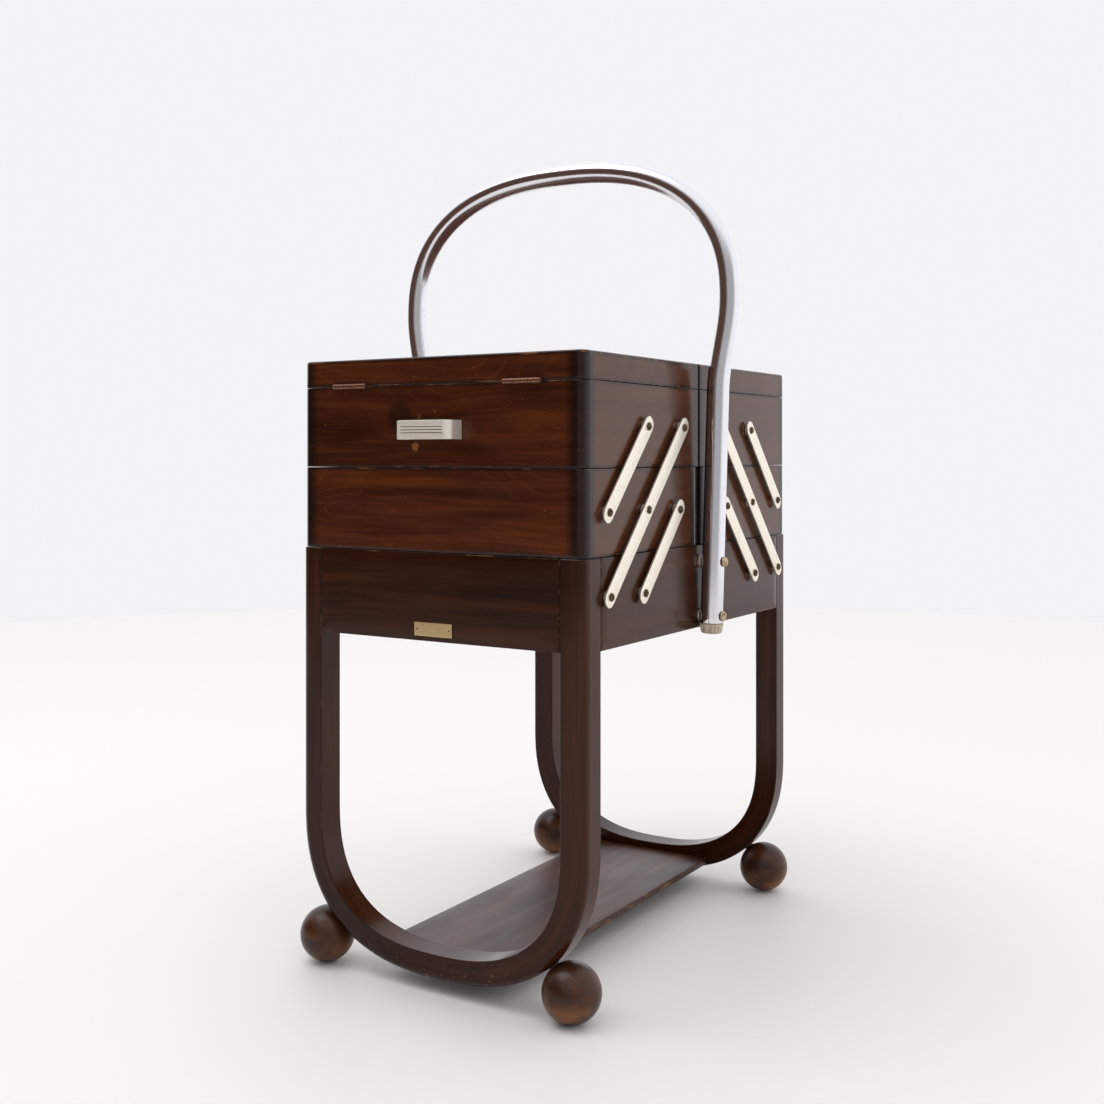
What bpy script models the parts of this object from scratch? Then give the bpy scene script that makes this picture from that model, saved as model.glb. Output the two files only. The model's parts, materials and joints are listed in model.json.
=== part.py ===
"""A cantilever sewing box on two bent leg frames, with a tube handle over it.

The lower box is fixed between the leg frames. Over it a front half and a back half each carry a
middle tray and a top tray with a hinged lid, and flat links on both ends swing them outwards.
Metres, +Z up. The origin is on the floor under the middle of the box, and +X runs along the trays.
"""

import math

import bmesh
import bpy
from mathutils import Euler, Matrix, Vector

GAP = 0.0003  # between two pieces that touch
BORE_GAP = 0.0003  # between a pin and its bore, on the radius

# Lower box
BOX_LENGTH = 0.320  # X, over the leg frames
BOX_DEPTH = 0.450  # Y, over the leg frames
BOX_HEIGHT = 0.081
BOX_UNDERSIDE = 0.322  # above the floor
PANEL_THICKNESS = 0.012
BOX_BOTTOM_THICKNESS = 0.006
BOX_BOTTOM_RISE = 0.003  # from the panels' lower edges to the bottom board
CORNER_RADIUS = 0.0095  # upright outer corners of the box and the trays

# Bent leg frames
LEG_THICKNESS = 0.025  # in the plane of the frame
LEG_DEPTH = 0.028  # along Y
FRAME_BASE = 0.0115  # underside of the bend above the floor
FRAME_BEND_START = 0.153  # above the floor
FRAME_SQUARENESS = 2.5  # exponent of the bend: 2 is an ellipse
FRAME_BEND_STEPS = 26

# Ball feet
BALL_DIAMETER = 0.053
PEG_DIAMETER = 0.010
PEG_LENGTH = 0.013  # inside the leg frame

# Shelf between the frames
SHELF_WIDTH = 0.150
SHELF_THICKNESS = 0.007
SHELF_UNDERSIDE = 0.0225  # above the floor

# Trays and lids
TRAY_INSET = 0.001  # from the outside of the box to the outside of a tray
STACK_GAP = 0.0005  # between a tray and what it rests on
MEETING_GAP = 0.0012  # between the front half and the back half
MID_TRAY_HEIGHT = 0.077
TOP_TRAY_HEIGHT = 0.076
LID_HEIGHT = 0.0253
TRAY_WALL = 0.009
TRAY_BOTTOM_THICKNESS = 0.0035
LID_BOARD_THICKNESS = 0.006
LID_EDGE_ROUNDING = 0.0025
INNER_RADIUS = 0.003
TOP_MEETING_RADIUS = 0.0025  # inner corners of top trays and lids, where the halves meet

# Links: A upper (mid tray to top tray), B long (box to both trays), C lower (box to mid tray)
BOX_PIVOT_RISE = 0.0465  # pivots of the long link above the underside of box and trays
MID_PIVOT_RISE = 0.0388
TOP_PIVOT_RISE = 0.0376
LONG_LINK_FOOT_INSET = 0.0363  # lowest pivot, from the box's outer face
LONG_LINK_HEAD_INSET = 0.0452  # highest pivot, from the middle
UPPER_LINK_OFFSET = 0.0714  # from the long link outwards
LOWER_LINK_OFFSET = 0.0640  # from the long link inwards
LOWER_LINK_DROP = 0.002
LINK_WIDTH = 0.0155
LINK_THICKNESS = 0.0022
LINK_TIP = 0.010  # from a pivot to the end of its link
WASHER_DIAMETER = 0.011
WASHER_THICKNESS = 0.003
STUD_DIAMETER = 0.004
STUD_DEPTH = 0.007  # into the wood
RIVET_HEAD_DIAMETER = 0.0076
RIVET_HEAD_HEIGHT = 0.0026

# Hinges of the lids
HINGE_LENGTH = 0.040
HINGE_SPACING = 0.195  # between the middles of a lid's two hinges
KNUCKLE_DIAMETER = 0.0052
LEAF_THICKNESS = 0.0009
LEAF_SPREAD = 0.0003  # from the pin's axis to the near face of each leaf
HINGE_PIN_DIAMETER = 0.0024
LEAF_REACH = 0.0085  # of a leaf into the wall
KNUCKLE_GAP = 0.0003

# Handle
TUBE_DIAMETER = 0.022
TUBE_WALL = 0.0015
TUBE_STANDOFF = 0.0018  # from the box to the tube, at the tube's lower end
TUBE_SPREAD = 0.0070  # how much further out the tube is where it passes the lids
TUBE_END_RISE = 0.005  # lower end above the box's underside
ARCH_BULGE = 0.0121  # widest place of the arch, past the tube at the lids
ARCH_SPRING = 0.064  # widest place above the lids
ARCH_TOP = 0.2147  # top of the tube above the lids
ARCH_SQUARENESS = 2.4
CAP_LENGTH = 0.010
CAP_RIM = 0.0008  # how far the cap stands proud of the tube
CAP_TAPER = 0.0012
PLUG_LENGTH = 0.0035
SCREW_LOW_RISE = 0.012  # above the box's underside
SCREW_HIGH_RISE = 0.0655
SCREW_DIAMETER = 0.005
SCREW_HEAD_DIAMETER = 0.010
SCREW_HEAD_HEIGHT = 0.0042
SCREW_DEPTH = 0.009  # into the panel
SPACER_DIAMETER = 0.0135

# Pulls and plate
PULL_LENGTH = 0.062
PULL_HEIGHT = 0.0173
PULL_STANDOFF = 0.020
PULL_THICKNESS = 0.0025
PULL_RADIUS = 0.007
PULL_RISE = 0.0342  # middle of the pull above the top tray's underside
PLATE_LENGTH = 0.0425
PLATE_HEIGHT = 0.0125
PLATE_THICKNESS = 0.0008
PLATE_RISE = 0.0046  # lower edge above the box's underside

# Heights and faces that follow from them
BOX_RIM = BOX_UNDERSIDE + BOX_HEIGHT
MID_UNDERSIDE = BOX_RIM + STACK_GAP
MID_RIM = MID_UNDERSIDE + MID_TRAY_HEIGHT
TOP_UNDERSIDE = MID_RIM + STACK_GAP
TOP_RIM = TOP_UNDERSIDE + TOP_TRAY_HEIGHT
LID_UNDERSIDE = TOP_RIM + STACK_GAP
LID_TOP = LID_UNDERSIDE + LID_HEIGHT
BOX_END = BOX_LENGTH / 2
BOX_FACE = BOX_DEPTH / 2
TRAY_END = BOX_END - TRAY_INSET
TRAY_FACE = BOX_FACE - TRAY_INSET
LEG_INNER_END = BOX_END - LEG_THICKNESS
LEG_INNER_FACE = BOX_FACE - LEG_DEPTH
HINGE_HEIGHT = TOP_RIM + STACK_GAP / 2
HINGE_FACE = TRAY_FACE + KNUCKLE_DIAMETER / 2 + KNUCKLE_GAP

# Pivots of a half, as (distance from the middle, height), for closed trays
FOOT = Vector((BOX_FACE - LONG_LINK_FOOT_INSET, BOX_UNDERSIDE + BOX_PIVOT_RISE))
HEAD = Vector((LONG_LINK_HEAD_INSET, TOP_UNDERSIDE + TOP_PIVOT_RISE))
KNEE_SHARE = (MID_UNDERSIDE + MID_PIVOT_RISE - FOOT.y) / (HEAD.y - FOOT.y)
KNEE = FOOT.lerp(HEAD, KNEE_SHARE)
UPPER_SHIFT = Vector((UPPER_LINK_OFFSET, 0.0))
LOWER_SHIFT = Vector((-LOWER_LINK_OFFSET, -LOWER_LINK_DROP))
LINK_PIVOTS = {
    "upper_link": (KNEE + UPPER_SHIFT, HEAD + UPPER_SHIFT),
    "long_link": (FOOT, KNEE, HEAD),
    "lower_link": (FOOT + LOWER_SHIFT, KNEE + LOWER_SHIFT),
}

ENDS = {"left": -1, "right": 1}
HALVES = {"front": -1, "back": 1}


def start_scene():
    """Empty the scene and return the collections for the parts and for the cutters."""
    for old in list(bpy.data.objects):
        bpy.data.objects.remove(old, do_unlink=True)
    found = []
    for name in ("sewing_box", "cutters"):
        collection = bpy.data.collections.new(name)
        bpy.context.scene.collection.children.link(collection)
        found.append(collection)
    found[1].hide_render = True
    return found


def material(name, colour, roughness, metallic):
    """A Principled material of one linear colour."""
    made = bpy.data.materials.new(name)
    made.use_nodes = True
    shader = made.node_tree.nodes["Principled BSDF"]
    shader.inputs["Base Color"].default_value = (*colour, 1.0)
    shader.inputs["Roughness"].default_value = roughness
    shader.inputs["Metallic"].default_value = metallic
    return made


PARTS, CUTTERS = start_scene()
CABINET_WOOD = material("cabinet_wood", (0.045, 0.014, 0.007), 0.35, 0.0)
TRAY_WOOD = material("tray_wood", (0.110, 0.028, 0.010), 0.32, 0.0)
PLYWOOD = material("plywood", (0.180, 0.085, 0.035), 0.55, 0.0)
BALL_WOOD = material("ball_wood", (0.085, 0.028, 0.012), 0.38, 0.0)
CHROME = material("chrome", (0.62, 0.62, 0.63), 0.10, 1.0)
NICKEL = material("nickel", (0.64, 0.60, 0.50), 0.35, 1.0)
ALUMINIUM = material("aluminium", (0.62, 0.60, 0.55), 0.40, 1.0)
COPPERED = material("coppered_steel", (0.20, 0.105, 0.07), 0.45, 1.0)
BRASS = material("brass", (0.50, 0.34, 0.13), 0.38, 1.0)
CAP_PLASTIC = material("cap_plastic", (0.42, 0.35, 0.26), 0.55, 0.0)


def keep(obj, name, finish):
    """Name a finished piece, give it its material and put it with the parts."""
    obj.name = name
    obj.data.name = name
    obj.data.materials.clear()
    obj.data.materials.append(finish)
    for collection in list(obj.users_collection):
        collection.objects.unlink(obj)
    PARTS.objects.link(obj)
    return obj


def as_cutter(obj):
    """Put a helper object with the cutters."""
    for collection in list(obj.users_collection):
        collection.objects.unlink(obj)
    CUTTERS.objects.link(obj)
    obj.hide_render = True
    obj.display_type = "WIRE"
    return obj


def new_object(name, data):
    obj = bpy.data.objects.new(name, data)
    PARTS.objects.link(obj)
    return obj


def place(obj, location, rotation=(0.0, 0.0, 0.0)):
    obj.location = location
    obj.rotation_euler = rotation
    return obj


def block(name, low, high):
    """A box between two corners."""
    mesh = bpy.data.meshes.new(name)
    shape = bmesh.new()
    size = [b - a for a, b in zip(low, high)]
    bmesh.ops.create_cube(shape, size=1.0, matrix=Matrix.Diagonal((*size, 1.0)))
    shape.to_mesh(mesh)
    shape.free()
    return place(new_object(name, mesh), [(a + b) / 2 for a, b in zip(low, high)])


def cylinder(name, radius, length, segments=12, tip_radius=None):
    """A cylinder or cone along local Z from 0 to its length."""
    mesh = bpy.data.meshes.new(name)
    shape = bmesh.new()
    bmesh.ops.create_cone(
        shape,
        cap_ends=True,
        segments=segments,
        radius1=radius,
        radius2=radius if tip_radius is None else tip_radius,
        depth=length,
        matrix=Matrix.Translation((0.0, 0.0, length / 2)),
    )
    shape.to_mesh(mesh)
    shape.free()
    return new_object(name, mesh)


def prism(name, outlines, thickness):
    """Flat outlines in local XY, the first the outer one, filled and extruded both ways."""
    curve = bpy.data.curves.new(name, "CURVE")
    curve.dimensions = "2D"
    curve.fill_mode = "BOTH"
    curve.extrude = thickness / 2
    for outline in outlines:
        spline = curve.splines.new("POLY")
        spline.points.add(len(outline) - 1)
        spline.use_cyclic_u = True
        for point, (x, y) in zip(spline.points, outline):
            point.co = (x, y, 0.0, 1.0)
    return new_object(name, curve)


def as_mesh(obj):
    """The curve object made a mesh with its caps welded, in the same place."""
    bpy.context.view_layer.update()
    evaluated = obj.evaluated_get(bpy.context.evaluated_depsgraph_get())
    mesh = bpy.data.meshes.new_from_object(evaluated)
    shape = bmesh.new()
    shape.from_mesh(mesh)
    bmesh.ops.remove_doubles(shape, verts=shape.verts, dist=1e-6)
    shape.to_mesh(mesh)
    shape.free()
    made = new_object(obj.name + "_mesh", mesh)
    made.matrix_world = obj.matrix_world
    bpy.data.objects.remove(obj, do_unlink=True)
    return made


def combine(obj, other, operation):
    """A Boolean of obj with another object, which becomes a cutter."""
    boolean = obj.modifiers.new(operation.lower(), "BOOLEAN")
    boolean.operation = operation
    boolean.solver = "EXACT"
    boolean.object = as_cutter(other)
    return obj


def round_edges(obj, radius, segments, wanted):
    """Round the edges of a mesh for which wanted says so."""
    shape = bmesh.new()
    shape.from_mesh(obj.data)
    shape.normal_update()
    chosen = [edge for edge in shape.edges if wanted(edge)]
    bmesh.ops.bevel(
        shape, geom=chosen, offset=radius, segments=segments, profile=0.5, affect="EDGES"
    )
    shape.to_mesh(obj.data)
    shape.free()


def arc(centre, radius, start, end, steps):
    """Points of an arc in degrees, ends included."""
    angles = [math.radians(start + (end - start) * i / steps) for i in range(steps + 1)]
    return [(centre[0] + radius * math.cos(a), centre[1] + radius * math.sin(a)) for a in angles]


def rounded_rectangle(low, high, radii, steps=5):
    """Corner order: low-low, high-low, high-high, low-high."""
    corners = ((low[0], low[1]), (high[0], low[1]), (high[0], high[1]), (low[0], high[1]))
    inwards = ((1, 1), (-1, 1), (-1, -1), (1, -1))
    points = []
    for i, (corner, way, radius) in enumerate(zip(corners, inwards, radii)):
        centre = (corner[0] + way[0] * radius, corner[1] + way[1] * radius)
        start = 180 + 90 * i
        points += arc(centre, radius, start, start + 90, steps)
    return points


def smooth(obj, degrees=35):
    """Shade a mesh smooth, but for its sharp edges."""
    obj.data.shade_smooth()
    obj.data.set_sharp_from_angle(angle=math.radians(degrees))
    return obj


# Lower box and its frames


def frame_bend(offset=0.0):
    """Centre line of a leg frame in XZ, moved outwards by an offset: leg, bend, leg."""
    half_width = BOX_END - LEG_THICKNESS / 2
    drop = FRAME_BEND_START - FRAME_BASE - LEG_THICKNESS / 2
    power = 2.0 / FRAME_SQUARENESS
    line = [Vector((-half_width, BOX_RIM))]
    for i in range(FRAME_BEND_STEPS + 1):
        angle = math.pi * i / FRAME_BEND_STEPS
        across, down = -math.cos(angle), max(math.sin(angle), 0.0)
        x = half_width * math.copysign(abs(across) ** power, across)
        line.append(Vector((x, FRAME_BEND_START - drop * down**power)))
    line.append(Vector((half_width, BOX_RIM)))
    moved = [line[0] + Vector((-offset, 0.0))]
    for before, point, after in zip(line, line[1:], line[2:]):
        along = after - before
        moved.append(point + offset * Vector((along.y, -along.x)).normalized())
    moved.append(line[-1] + Vector((offset, 0.0)))
    return moved


def ball_place():
    """(x, z) of the right ball foot's middle and the unit way from it into the frame.

    The ball stands on the floor and clears the frame's outside by the gap.
    """
    reach = LEG_THICKNESS / 2 + GAP + BALL_DIAMETER / 2
    centre_line = frame_bend()
    offset_line = frame_bend(reach)
    floor_line = BALL_DIAMETER / 2
    middle = len(offset_line) // 2
    for i in range(middle, len(offset_line) - 1):
        low, high = offset_line[i], offset_line[i + 1]
        if low.y <= floor_line <= high.y:
            share = (floor_line - low.y) / (high.y - low.y)
            place_of = low.lerp(high, share)
            target = centre_line[i].lerp(centre_line[i + 1], share)
            return place_of, (target - place_of).normalized()
    raise ValueError("the ball is too large for the bend")


def peg_ways(half):
    """(middle of the ball, way of its peg) for the two feet of a frame."""
    ball, inwards = ball_place()
    y = HALVES[half] * (BOX_FACE - LEG_DEPTH / 2)
    for side in ENDS.values():
        yield Vector((side * ball.x, y, ball.y)), Vector((side * inwards.x, 0.0, inwards.y))


def leg_frames():
    """Two U frames, flat outlines with their outer edge towards the front or back rounded."""
    outline = frame_bend(LEG_THICKNESS / 2) + frame_bend(-LEG_THICKNESS / 2)[::-1]
    for half, way in HALVES.items():
        frame = prism("frame", [outline], LEG_DEPTH)
        place(frame, (0.0, way * (BOX_FACE - LEG_DEPTH / 2), 0.0), (math.pi / 2, 0.0, 0.0))
        frame = as_mesh(frame)
        round_edges(frame, CORNER_RADIUS, 4, lambda edge: outer_frame_edge(edge, way))
        for middle, peg_way in peg_ways(half):
            bore = cylinder("peg_bore", PEG_DIAMETER / 2 + BORE_GAP, PEG_LENGTH + 0.006)
            bore.location = middle + peg_way * (BALL_DIAMETER / 2 - 0.005)
            bore.rotation_euler = peg_way.to_track_quat("Z", "Y").to_euler()
            combine(frame, bore, "DIFFERENCE")
        keep(frame, half + "_leg_frame", CABINET_WOOD)
        smooth(frame)


def outer_frame_edge(edge, way):
    """Whether an edge, in a frame's own XY, runs round its outside on its outward face."""
    if any(way * v.co.z > 0.0 for v in edge.verts):
        return False
    side = [face.normal for face in edge.link_faces if abs(face.normal.z) < 0.5]
    if len(side) != 1 or side[0].y > 0.9:
        return False
    middle = (edge.verts[0].co + edge.verts[1].co) / 2
    return side[0].dot(middle - Vector((0.0, FRAME_BEND_START, 0.0))) > 0.0


def ball_feet():
    """Turned balls, each with a peg that goes into the frame along its normal."""
    for half in HALVES:
        for end, (middle, peg_way) in zip(ENDS, peg_ways(half)):
            mesh = bpy.data.meshes.new("ball")
            shape = bmesh.new()
            bmesh.ops.create_uvsphere(
                shape, u_segments=18, v_segments=12, radius=BALL_DIAMETER / 2
            )
            shape.to_mesh(mesh)
            shape.free()
            foot = new_object("ball", mesh)
            peg = cylinder("peg", PEG_DIAMETER / 2, BALL_DIAMETER / 2 + PEG_LENGTH)
            for piece in (foot, peg):
                piece.location = middle
                piece.rotation_euler = peg_way.to_track_quat("Z", "Y").to_euler()
            combine(foot, peg, "UNION")
            keep(foot, f"ball_foot_{half}_{end}", BALL_WOOD)
            smooth(foot)


def lower_box():
    """Four panels between the legs, a bottom board inside them, and the shelf below."""
    for half, way in HALVES.items():
        outer, inner = way * BOX_FACE, way * (BOX_FACE - PANEL_THICKNESS)
        reach = LEG_INNER_END - GAP
        low = (-reach, min(outer, inner), BOX_UNDERSIDE)
        high = (reach, max(outer, inner), BOX_RIM)
        keep(block("panel", low, high), f"box_{half}_panel", CABINET_WOOD)
    for end, side in ENDS.items():
        outer, inner = side * BOX_END, side * (BOX_END - PANEL_THICKNESS)
        reach = LEG_INNER_FACE - GAP
        low = (min(outer, inner), -reach, BOX_UNDERSIDE)
        high = (max(outer, inner), reach, BOX_RIM)
        panel = block("panel", low, high)
        for way in HALVES.values():
            for name in ("long_link", "lower_link"):
                cut_stud_bore(panel, side, way, LINK_PIVOTS[name][0], BOX_END)
        for rise in (SCREW_LOW_RISE, SCREW_HIGH_RISE):
            bore = cylinder("screw_bore", SCREW_DIAMETER / 2 + BORE_GAP, SCREW_DEPTH + 0.002)
            place(
                bore,
                (side * (BOX_END + 0.001), 0.0, BOX_UNDERSIDE + rise),
                (0.0, -side * math.pi / 2, 0.0),
            )
            combine(panel, bore, "DIFFERENCE")
        keep(panel, f"box_{end}_panel", CABINET_WOOD)

    x = BOX_END - PANEL_THICKNESS - GAP
    y = BOX_FACE - PANEL_THICKNESS - GAP
    leg_x, leg_y = LEG_INNER_END - GAP, LEG_INNER_FACE - GAP
    quarter = [(x, leg_y), (leg_x, leg_y), (leg_x, y)]
    outline = quarter + [(-a, b) for a, b in reversed(quarter)]
    outline += [(-a, -b) for a, b in quarter] + [(a, -b) for a, b in reversed(quarter)]
    board = prism("box_bottom", [outline], BOX_BOTTOM_THICKNESS)
    rise = BOX_UNDERSIDE + BOX_BOTTOM_RISE + BOX_BOTTOM_THICKNESS / 2
    board = as_mesh(place(board, (0.0, 0.0, rise)))
    keep(board, "box_bottom", PLYWOOD)

    half_width, reach = SHELF_WIDTH / 2, LEG_INNER_FACE - GAP
    low = (-half_width, -reach, SHELF_UNDERSIDE)
    high = (half_width, reach, SHELF_UNDERSIDE + SHELF_THICKNESS)
    keep(block("shelf", low, high), "shelf", CABINET_WOOD)


# Links


def cut_stud_bore(obj, side, way, pivot, end_face):
    """A blind bore in an end wall for the stud of a link."""
    bore = cylinder("stud_bore", STUD_DIAMETER / 2 + BORE_GAP, STUD_DEPTH + 0.0015, segments=10)
    start = side * (end_face + 0.001)
    place(bore, (start, way * pivot.x, pivot.y), (0.0, -side * math.pi / 2, 0.0))
    combine(obj, bore, "DIFFERENCE")


def link_outline(length):
    """A bar along local Y with bluntly pointed ends, from its lower pivot at the origin."""
    half = LINK_WIDTH / 2
    shoulder = LINK_TIP * 0.1
    steps = 4
    end = []
    for i in range(steps + 1):
        angle = math.pi / 2 * i / steps
        x = half * math.cos(angle) ** 0.8
        y = shoulder + (LINK_TIP - shoulder) * math.sin(angle)
        end.append((x, y))
    upper = [(x, length + y) for x, y in end]
    upper += [(-x, length + y) for x, y in reversed(end[:-1])]
    lower = [(-x, -y) for x, y in end]
    lower += [(x, -y) for x, y in reversed(end[:-1])]
    return upper + lower


def links():
    """Flat bars with washers, studs and domed heads at their pivots, on both ends."""
    lean = math.atan2(FOOT.x - HEAD.x, HEAD.y - FOOT.y)
    for half, way in HALVES.items():
        for end, side in ENDS.items():
            for name, pivots in LINK_PIVOTS.items():
                face = BOX_END if name != "upper_link" else TRAY_END
                foot = pivots[0]
                length = (pivots[-1] - foot).length
                standoff = face + GAP + WASHER_THICKNESS
                bar = prism("bar", [link_outline(length)], LINK_THICKNESS)
                turn = Matrix.Rotation(way * lean, 3, "X") @ Euler(
                    (math.pi / 2, 0.0, math.pi / 2)
                ).to_matrix()
                middle = side * (standoff + LINK_THICKNESS / 2)
                place(bar, (middle, way * foot.x, foot.y), turn.to_euler())
                bar = as_mesh(bar)
                for pivot in pivots:
                    wood = face if pivot is foot else TRAY_END
                    centre = (way * pivot.x, pivot.y)
                    for piece in pivot_pieces(side, wood, standoff, centre):
                        combine(bar, piece, "UNION")
                keep(bar, f"{half}_{name}_{end}", NICKEL)


def pivot_pieces(side, wood, standoff, centre):
    """Washer, stud and domed head of one pivot, overlapping the bar."""
    sink = LINK_THICKNESS / 2
    outer = standoff + LINK_THICKNESS
    sizes = (
        (WASHER_DIAMETER / 2, None, wood + GAP, standoff + sink, 12),
        (STUD_DIAMETER / 2, None, wood - STUD_DEPTH, standoff + sink, 10),
        (RIVET_HEAD_DIAMETER / 2, RIVET_HEAD_DIAMETER / 4, outer - sink / 2,
         outer + RIVET_HEAD_HEIGHT, 12),
    )
    for radius, tip, start, stop, segments in sizes:
        piece = cylinder("pivot", radius, stop - start, segments, tip)
        place(piece, (side * start, *centre), (0.0, side * math.pi / 2, 0.0))
        yield piece


# Trays and lids


def tray_outlines(half, meeting_radius):
    """Outer and inner outline of a tray's walls, with the corner radii in their places."""
    way = HALVES[half]
    outer_y, inner_y = way * TRAY_FACE, way * MEETING_GAP / 2
    low_y, high_y = min(outer_y, inner_y), max(outer_y, inner_y)
    radii = [meeting_radius] * 4
    for i in (0, 1) if outer_y < inner_y else (2, 3):
        radii[i] = CORNER_RADIUS
    outer = rounded_rectangle((-TRAY_END, low_y), (TRAY_END, high_y), radii)
    inset = TRAY_WALL
    inner = rounded_rectangle(
        (-TRAY_END + inset, low_y + inset),
        (TRAY_END - inset, high_y - inset),
        [INNER_RADIUS] * 4,
        steps=3,
    )
    return outer, inner


def hinge_mortise(obj, half, x, leaf_way):
    """A shallow recess for one leaf, open to the outer face."""
    way = HALVES[half]
    near = LEAF_SPREAD - GAP
    deep = LEAF_SPREAD + LEAF_THICKNESS + GAP
    z_values = sorted((HINGE_HEIGHT + leaf_way * near, HINGE_HEIGHT + leaf_way * deep))
    y_values = sorted((way * (TRAY_FACE + 0.001), way * (TRAY_FACE - LEAF_REACH - GAP)))
    half_length = HINGE_LENGTH / 2 + GAP
    low = (x - half_length, y_values[0], z_values[0])
    high = (x + half_length, y_values[1], z_values[1])
    combine(obj, block("mortise", low, high), "DIFFERENCE")


def tray(name, half, underside, height, meeting_radius, pivots, hinged):
    """Walls as one bent ring on a thin bottom board."""
    outer, inner = tray_outlines(half, meeting_radius)
    board = prism("board", [outer], TRAY_BOTTOM_THICKNESS)
    board = as_mesh(place(board, (0.0, 0.0, underside + TRAY_BOTTOM_THICKNESS / 2)))
    keep(board, name + "_bottom", PLYWOOD)

    start = underside + TRAY_BOTTOM_THICKNESS + GAP
    stop = underside + height
    walls = prism("walls", [outer, inner], stop - start)
    walls = as_mesh(place(walls, (0.0, 0.0, (start + stop) / 2)))
    for side in ENDS.values():
        for pivot in pivots:
            cut_stud_bore(walls, side, HALVES[half], pivot, TRAY_END)
    if hinged:
        for side in ENDS.values():
            hinge_mortise(walls, half, side * HINGE_SPACING / 2, -1)
    keep(walls, name, TRAY_WOOD)
    return walls


def lid(half):
    """A shallow tray upside down: a board with a rim, and a softened upper edge."""
    outer, inner = tray_outlines(half, TOP_MEETING_RADIUS)
    shell = prism("lid", [outer], LID_HEIGHT)
    shell = as_mesh(place(shell, (0.0, 0.0, LID_UNDERSIDE + LID_HEIGHT / 2)))
    round_edges(shell, LID_EDGE_ROUNDING, 2, lid_upper_edge)
    depth = LID_HEIGHT - LID_BOARD_THICKNESS
    hollow = prism("hollow", [inner], depth + 0.002)
    hollow = as_mesh(place(hollow, (0.0, 0.0, LID_UNDERSIDE + depth / 2 - 0.001)))
    combine(shell, hollow, "DIFFERENCE")
    for side in ENDS.values():
        hinge_mortise(shell, half, side * HINGE_SPACING / 2, 1)
    keep(shell, half + "_lid", TRAY_WOOD)


def lid_upper_edge(edge):
    """Whether an edge is part of the outline of a lid's upper face."""
    if any(v.co.z < 0.0 for v in edge.verts):
        return False
    return any(abs(face.normal.z) < 0.5 for face in edge.link_faces)


def hinge_leaf(name, half, x, leaf_way, spans):
    """A leaf plate with knuckles over the given shares of its length, bored for the pin."""
    way = HALVES[half]
    near, far = LEAF_SPREAD, LEAF_SPREAD + LEAF_THICKNESS
    z_values = sorted((HINGE_HEIGHT + leaf_way * near, HINGE_HEIGHT + leaf_way * far))
    radius = KNUCKLE_DIAMETER / 2
    root = HINGE_FACE - radius - KNUCKLE_GAP
    y_values = sorted((way * (TRAY_FACE - LEAF_REACH), way * root))
    low = (x - HINGE_LENGTH / 2, y_values[0], z_values[0])
    high = (x + HINGE_LENGTH / 2, y_values[1], z_values[1])
    leaf = block("leaf", low, high)
    for start, stop in spans:
        left = x + HINGE_LENGTH * (start - 0.5) + (GAP if start > 0 else 0.0)
        right = x + HINGE_LENGTH * (stop - 0.5) - (GAP if stop < 1 else 0.0)
        tongue_y = sorted((way * (root - 0.001), way * HINGE_FACE))
        tongue = block(
            "tongue", (left, tongue_y[0], z_values[0]), (right, tongue_y[1], z_values[1])
        )
        combine(leaf, tongue, "UNION")
        knuckle = cylinder("knuckle", radius, right - left, segments=12)
        place(knuckle, (left, way * HINGE_FACE, HINGE_HEIGHT), (0.0, math.pi / 2, 0.0))
        combine(leaf, knuckle, "UNION")
    bore = cylinder("pin_bore", HINGE_PIN_DIAMETER / 2 + BORE_GAP, HINGE_LENGTH + 0.01, segments=10)
    place(bore, (x - HINGE_LENGTH / 2 - 0.005, way * HINGE_FACE, HINGE_HEIGHT), (0.0, math.pi / 2, 0.0))
    combine(leaf, bore, "DIFFERENCE")
    keep(leaf, name, COPPERED)


def hinges(half):
    """Two butt hinges: three knuckles each, the middle one on the lid's leaf."""
    way = HALVES[half]
    third = 1.0 / 3.0
    for end, side in ENDS.items():
        x = side * HINGE_SPACING / 2
        name = f"{half}_hinge_{end}"
        hinge_leaf(name + "_tray_leaf", half, x, -1, ((0.0, third), (1 - third, 1.0)))
        hinge_leaf(name + "_lid_leaf", half, x, 1, ((third, 1 - third),))
        length = HINGE_LENGTH + 0.0006
        pin = cylinder("pin", HINGE_PIN_DIAMETER / 2, length, segments=10)
        place(pin, (x - length / 2, way * HINGE_FACE, HINGE_HEIGHT), (0.0, math.pi / 2, 0.0))
        keep(pin, name + "_pin", COPPERED)
        smooth(pin)


def pull(half):
    """A bow of flat bar, its two ends against the top tray's outer face."""
    way = HALVES[half]
    half_length, out = PULL_LENGTH / 2, PULL_STANDOFF
    outer = [(-half_length, GAP)]
    outer += reversed(arc((-half_length + PULL_RADIUS, out - PULL_RADIUS), PULL_RADIUS, 90, 180, 5))
    outer += reversed(arc((half_length - PULL_RADIUS, out - PULL_RADIUS), PULL_RADIUS, 0, 90, 5))
    outer += [(half_length, GAP)]
    inner_half, inner_out = half_length - PULL_THICKNESS, out - PULL_THICKNESS
    small = PULL_RADIUS - PULL_THICKNESS
    inner = [(inner_half, GAP)]
    inner += arc((inner_half - small, inner_out - small), small, 0, 90, 5)
    inner += arc((-inner_half + small, inner_out - small), small, 90, 180, 5)
    inner += [(-inner_half, GAP)]
    outline = [(x, way * y) for x, y in outer + inner]
    bow = prism("pull", [outline], PULL_HEIGHT)
    bow = as_mesh(place(bow, (0.0, way * TRAY_FACE, TOP_UNDERSIDE + PULL_RISE)))
    keep(bow, half + "_pull", ALUMINIUM)
    smooth(bow)


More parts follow.
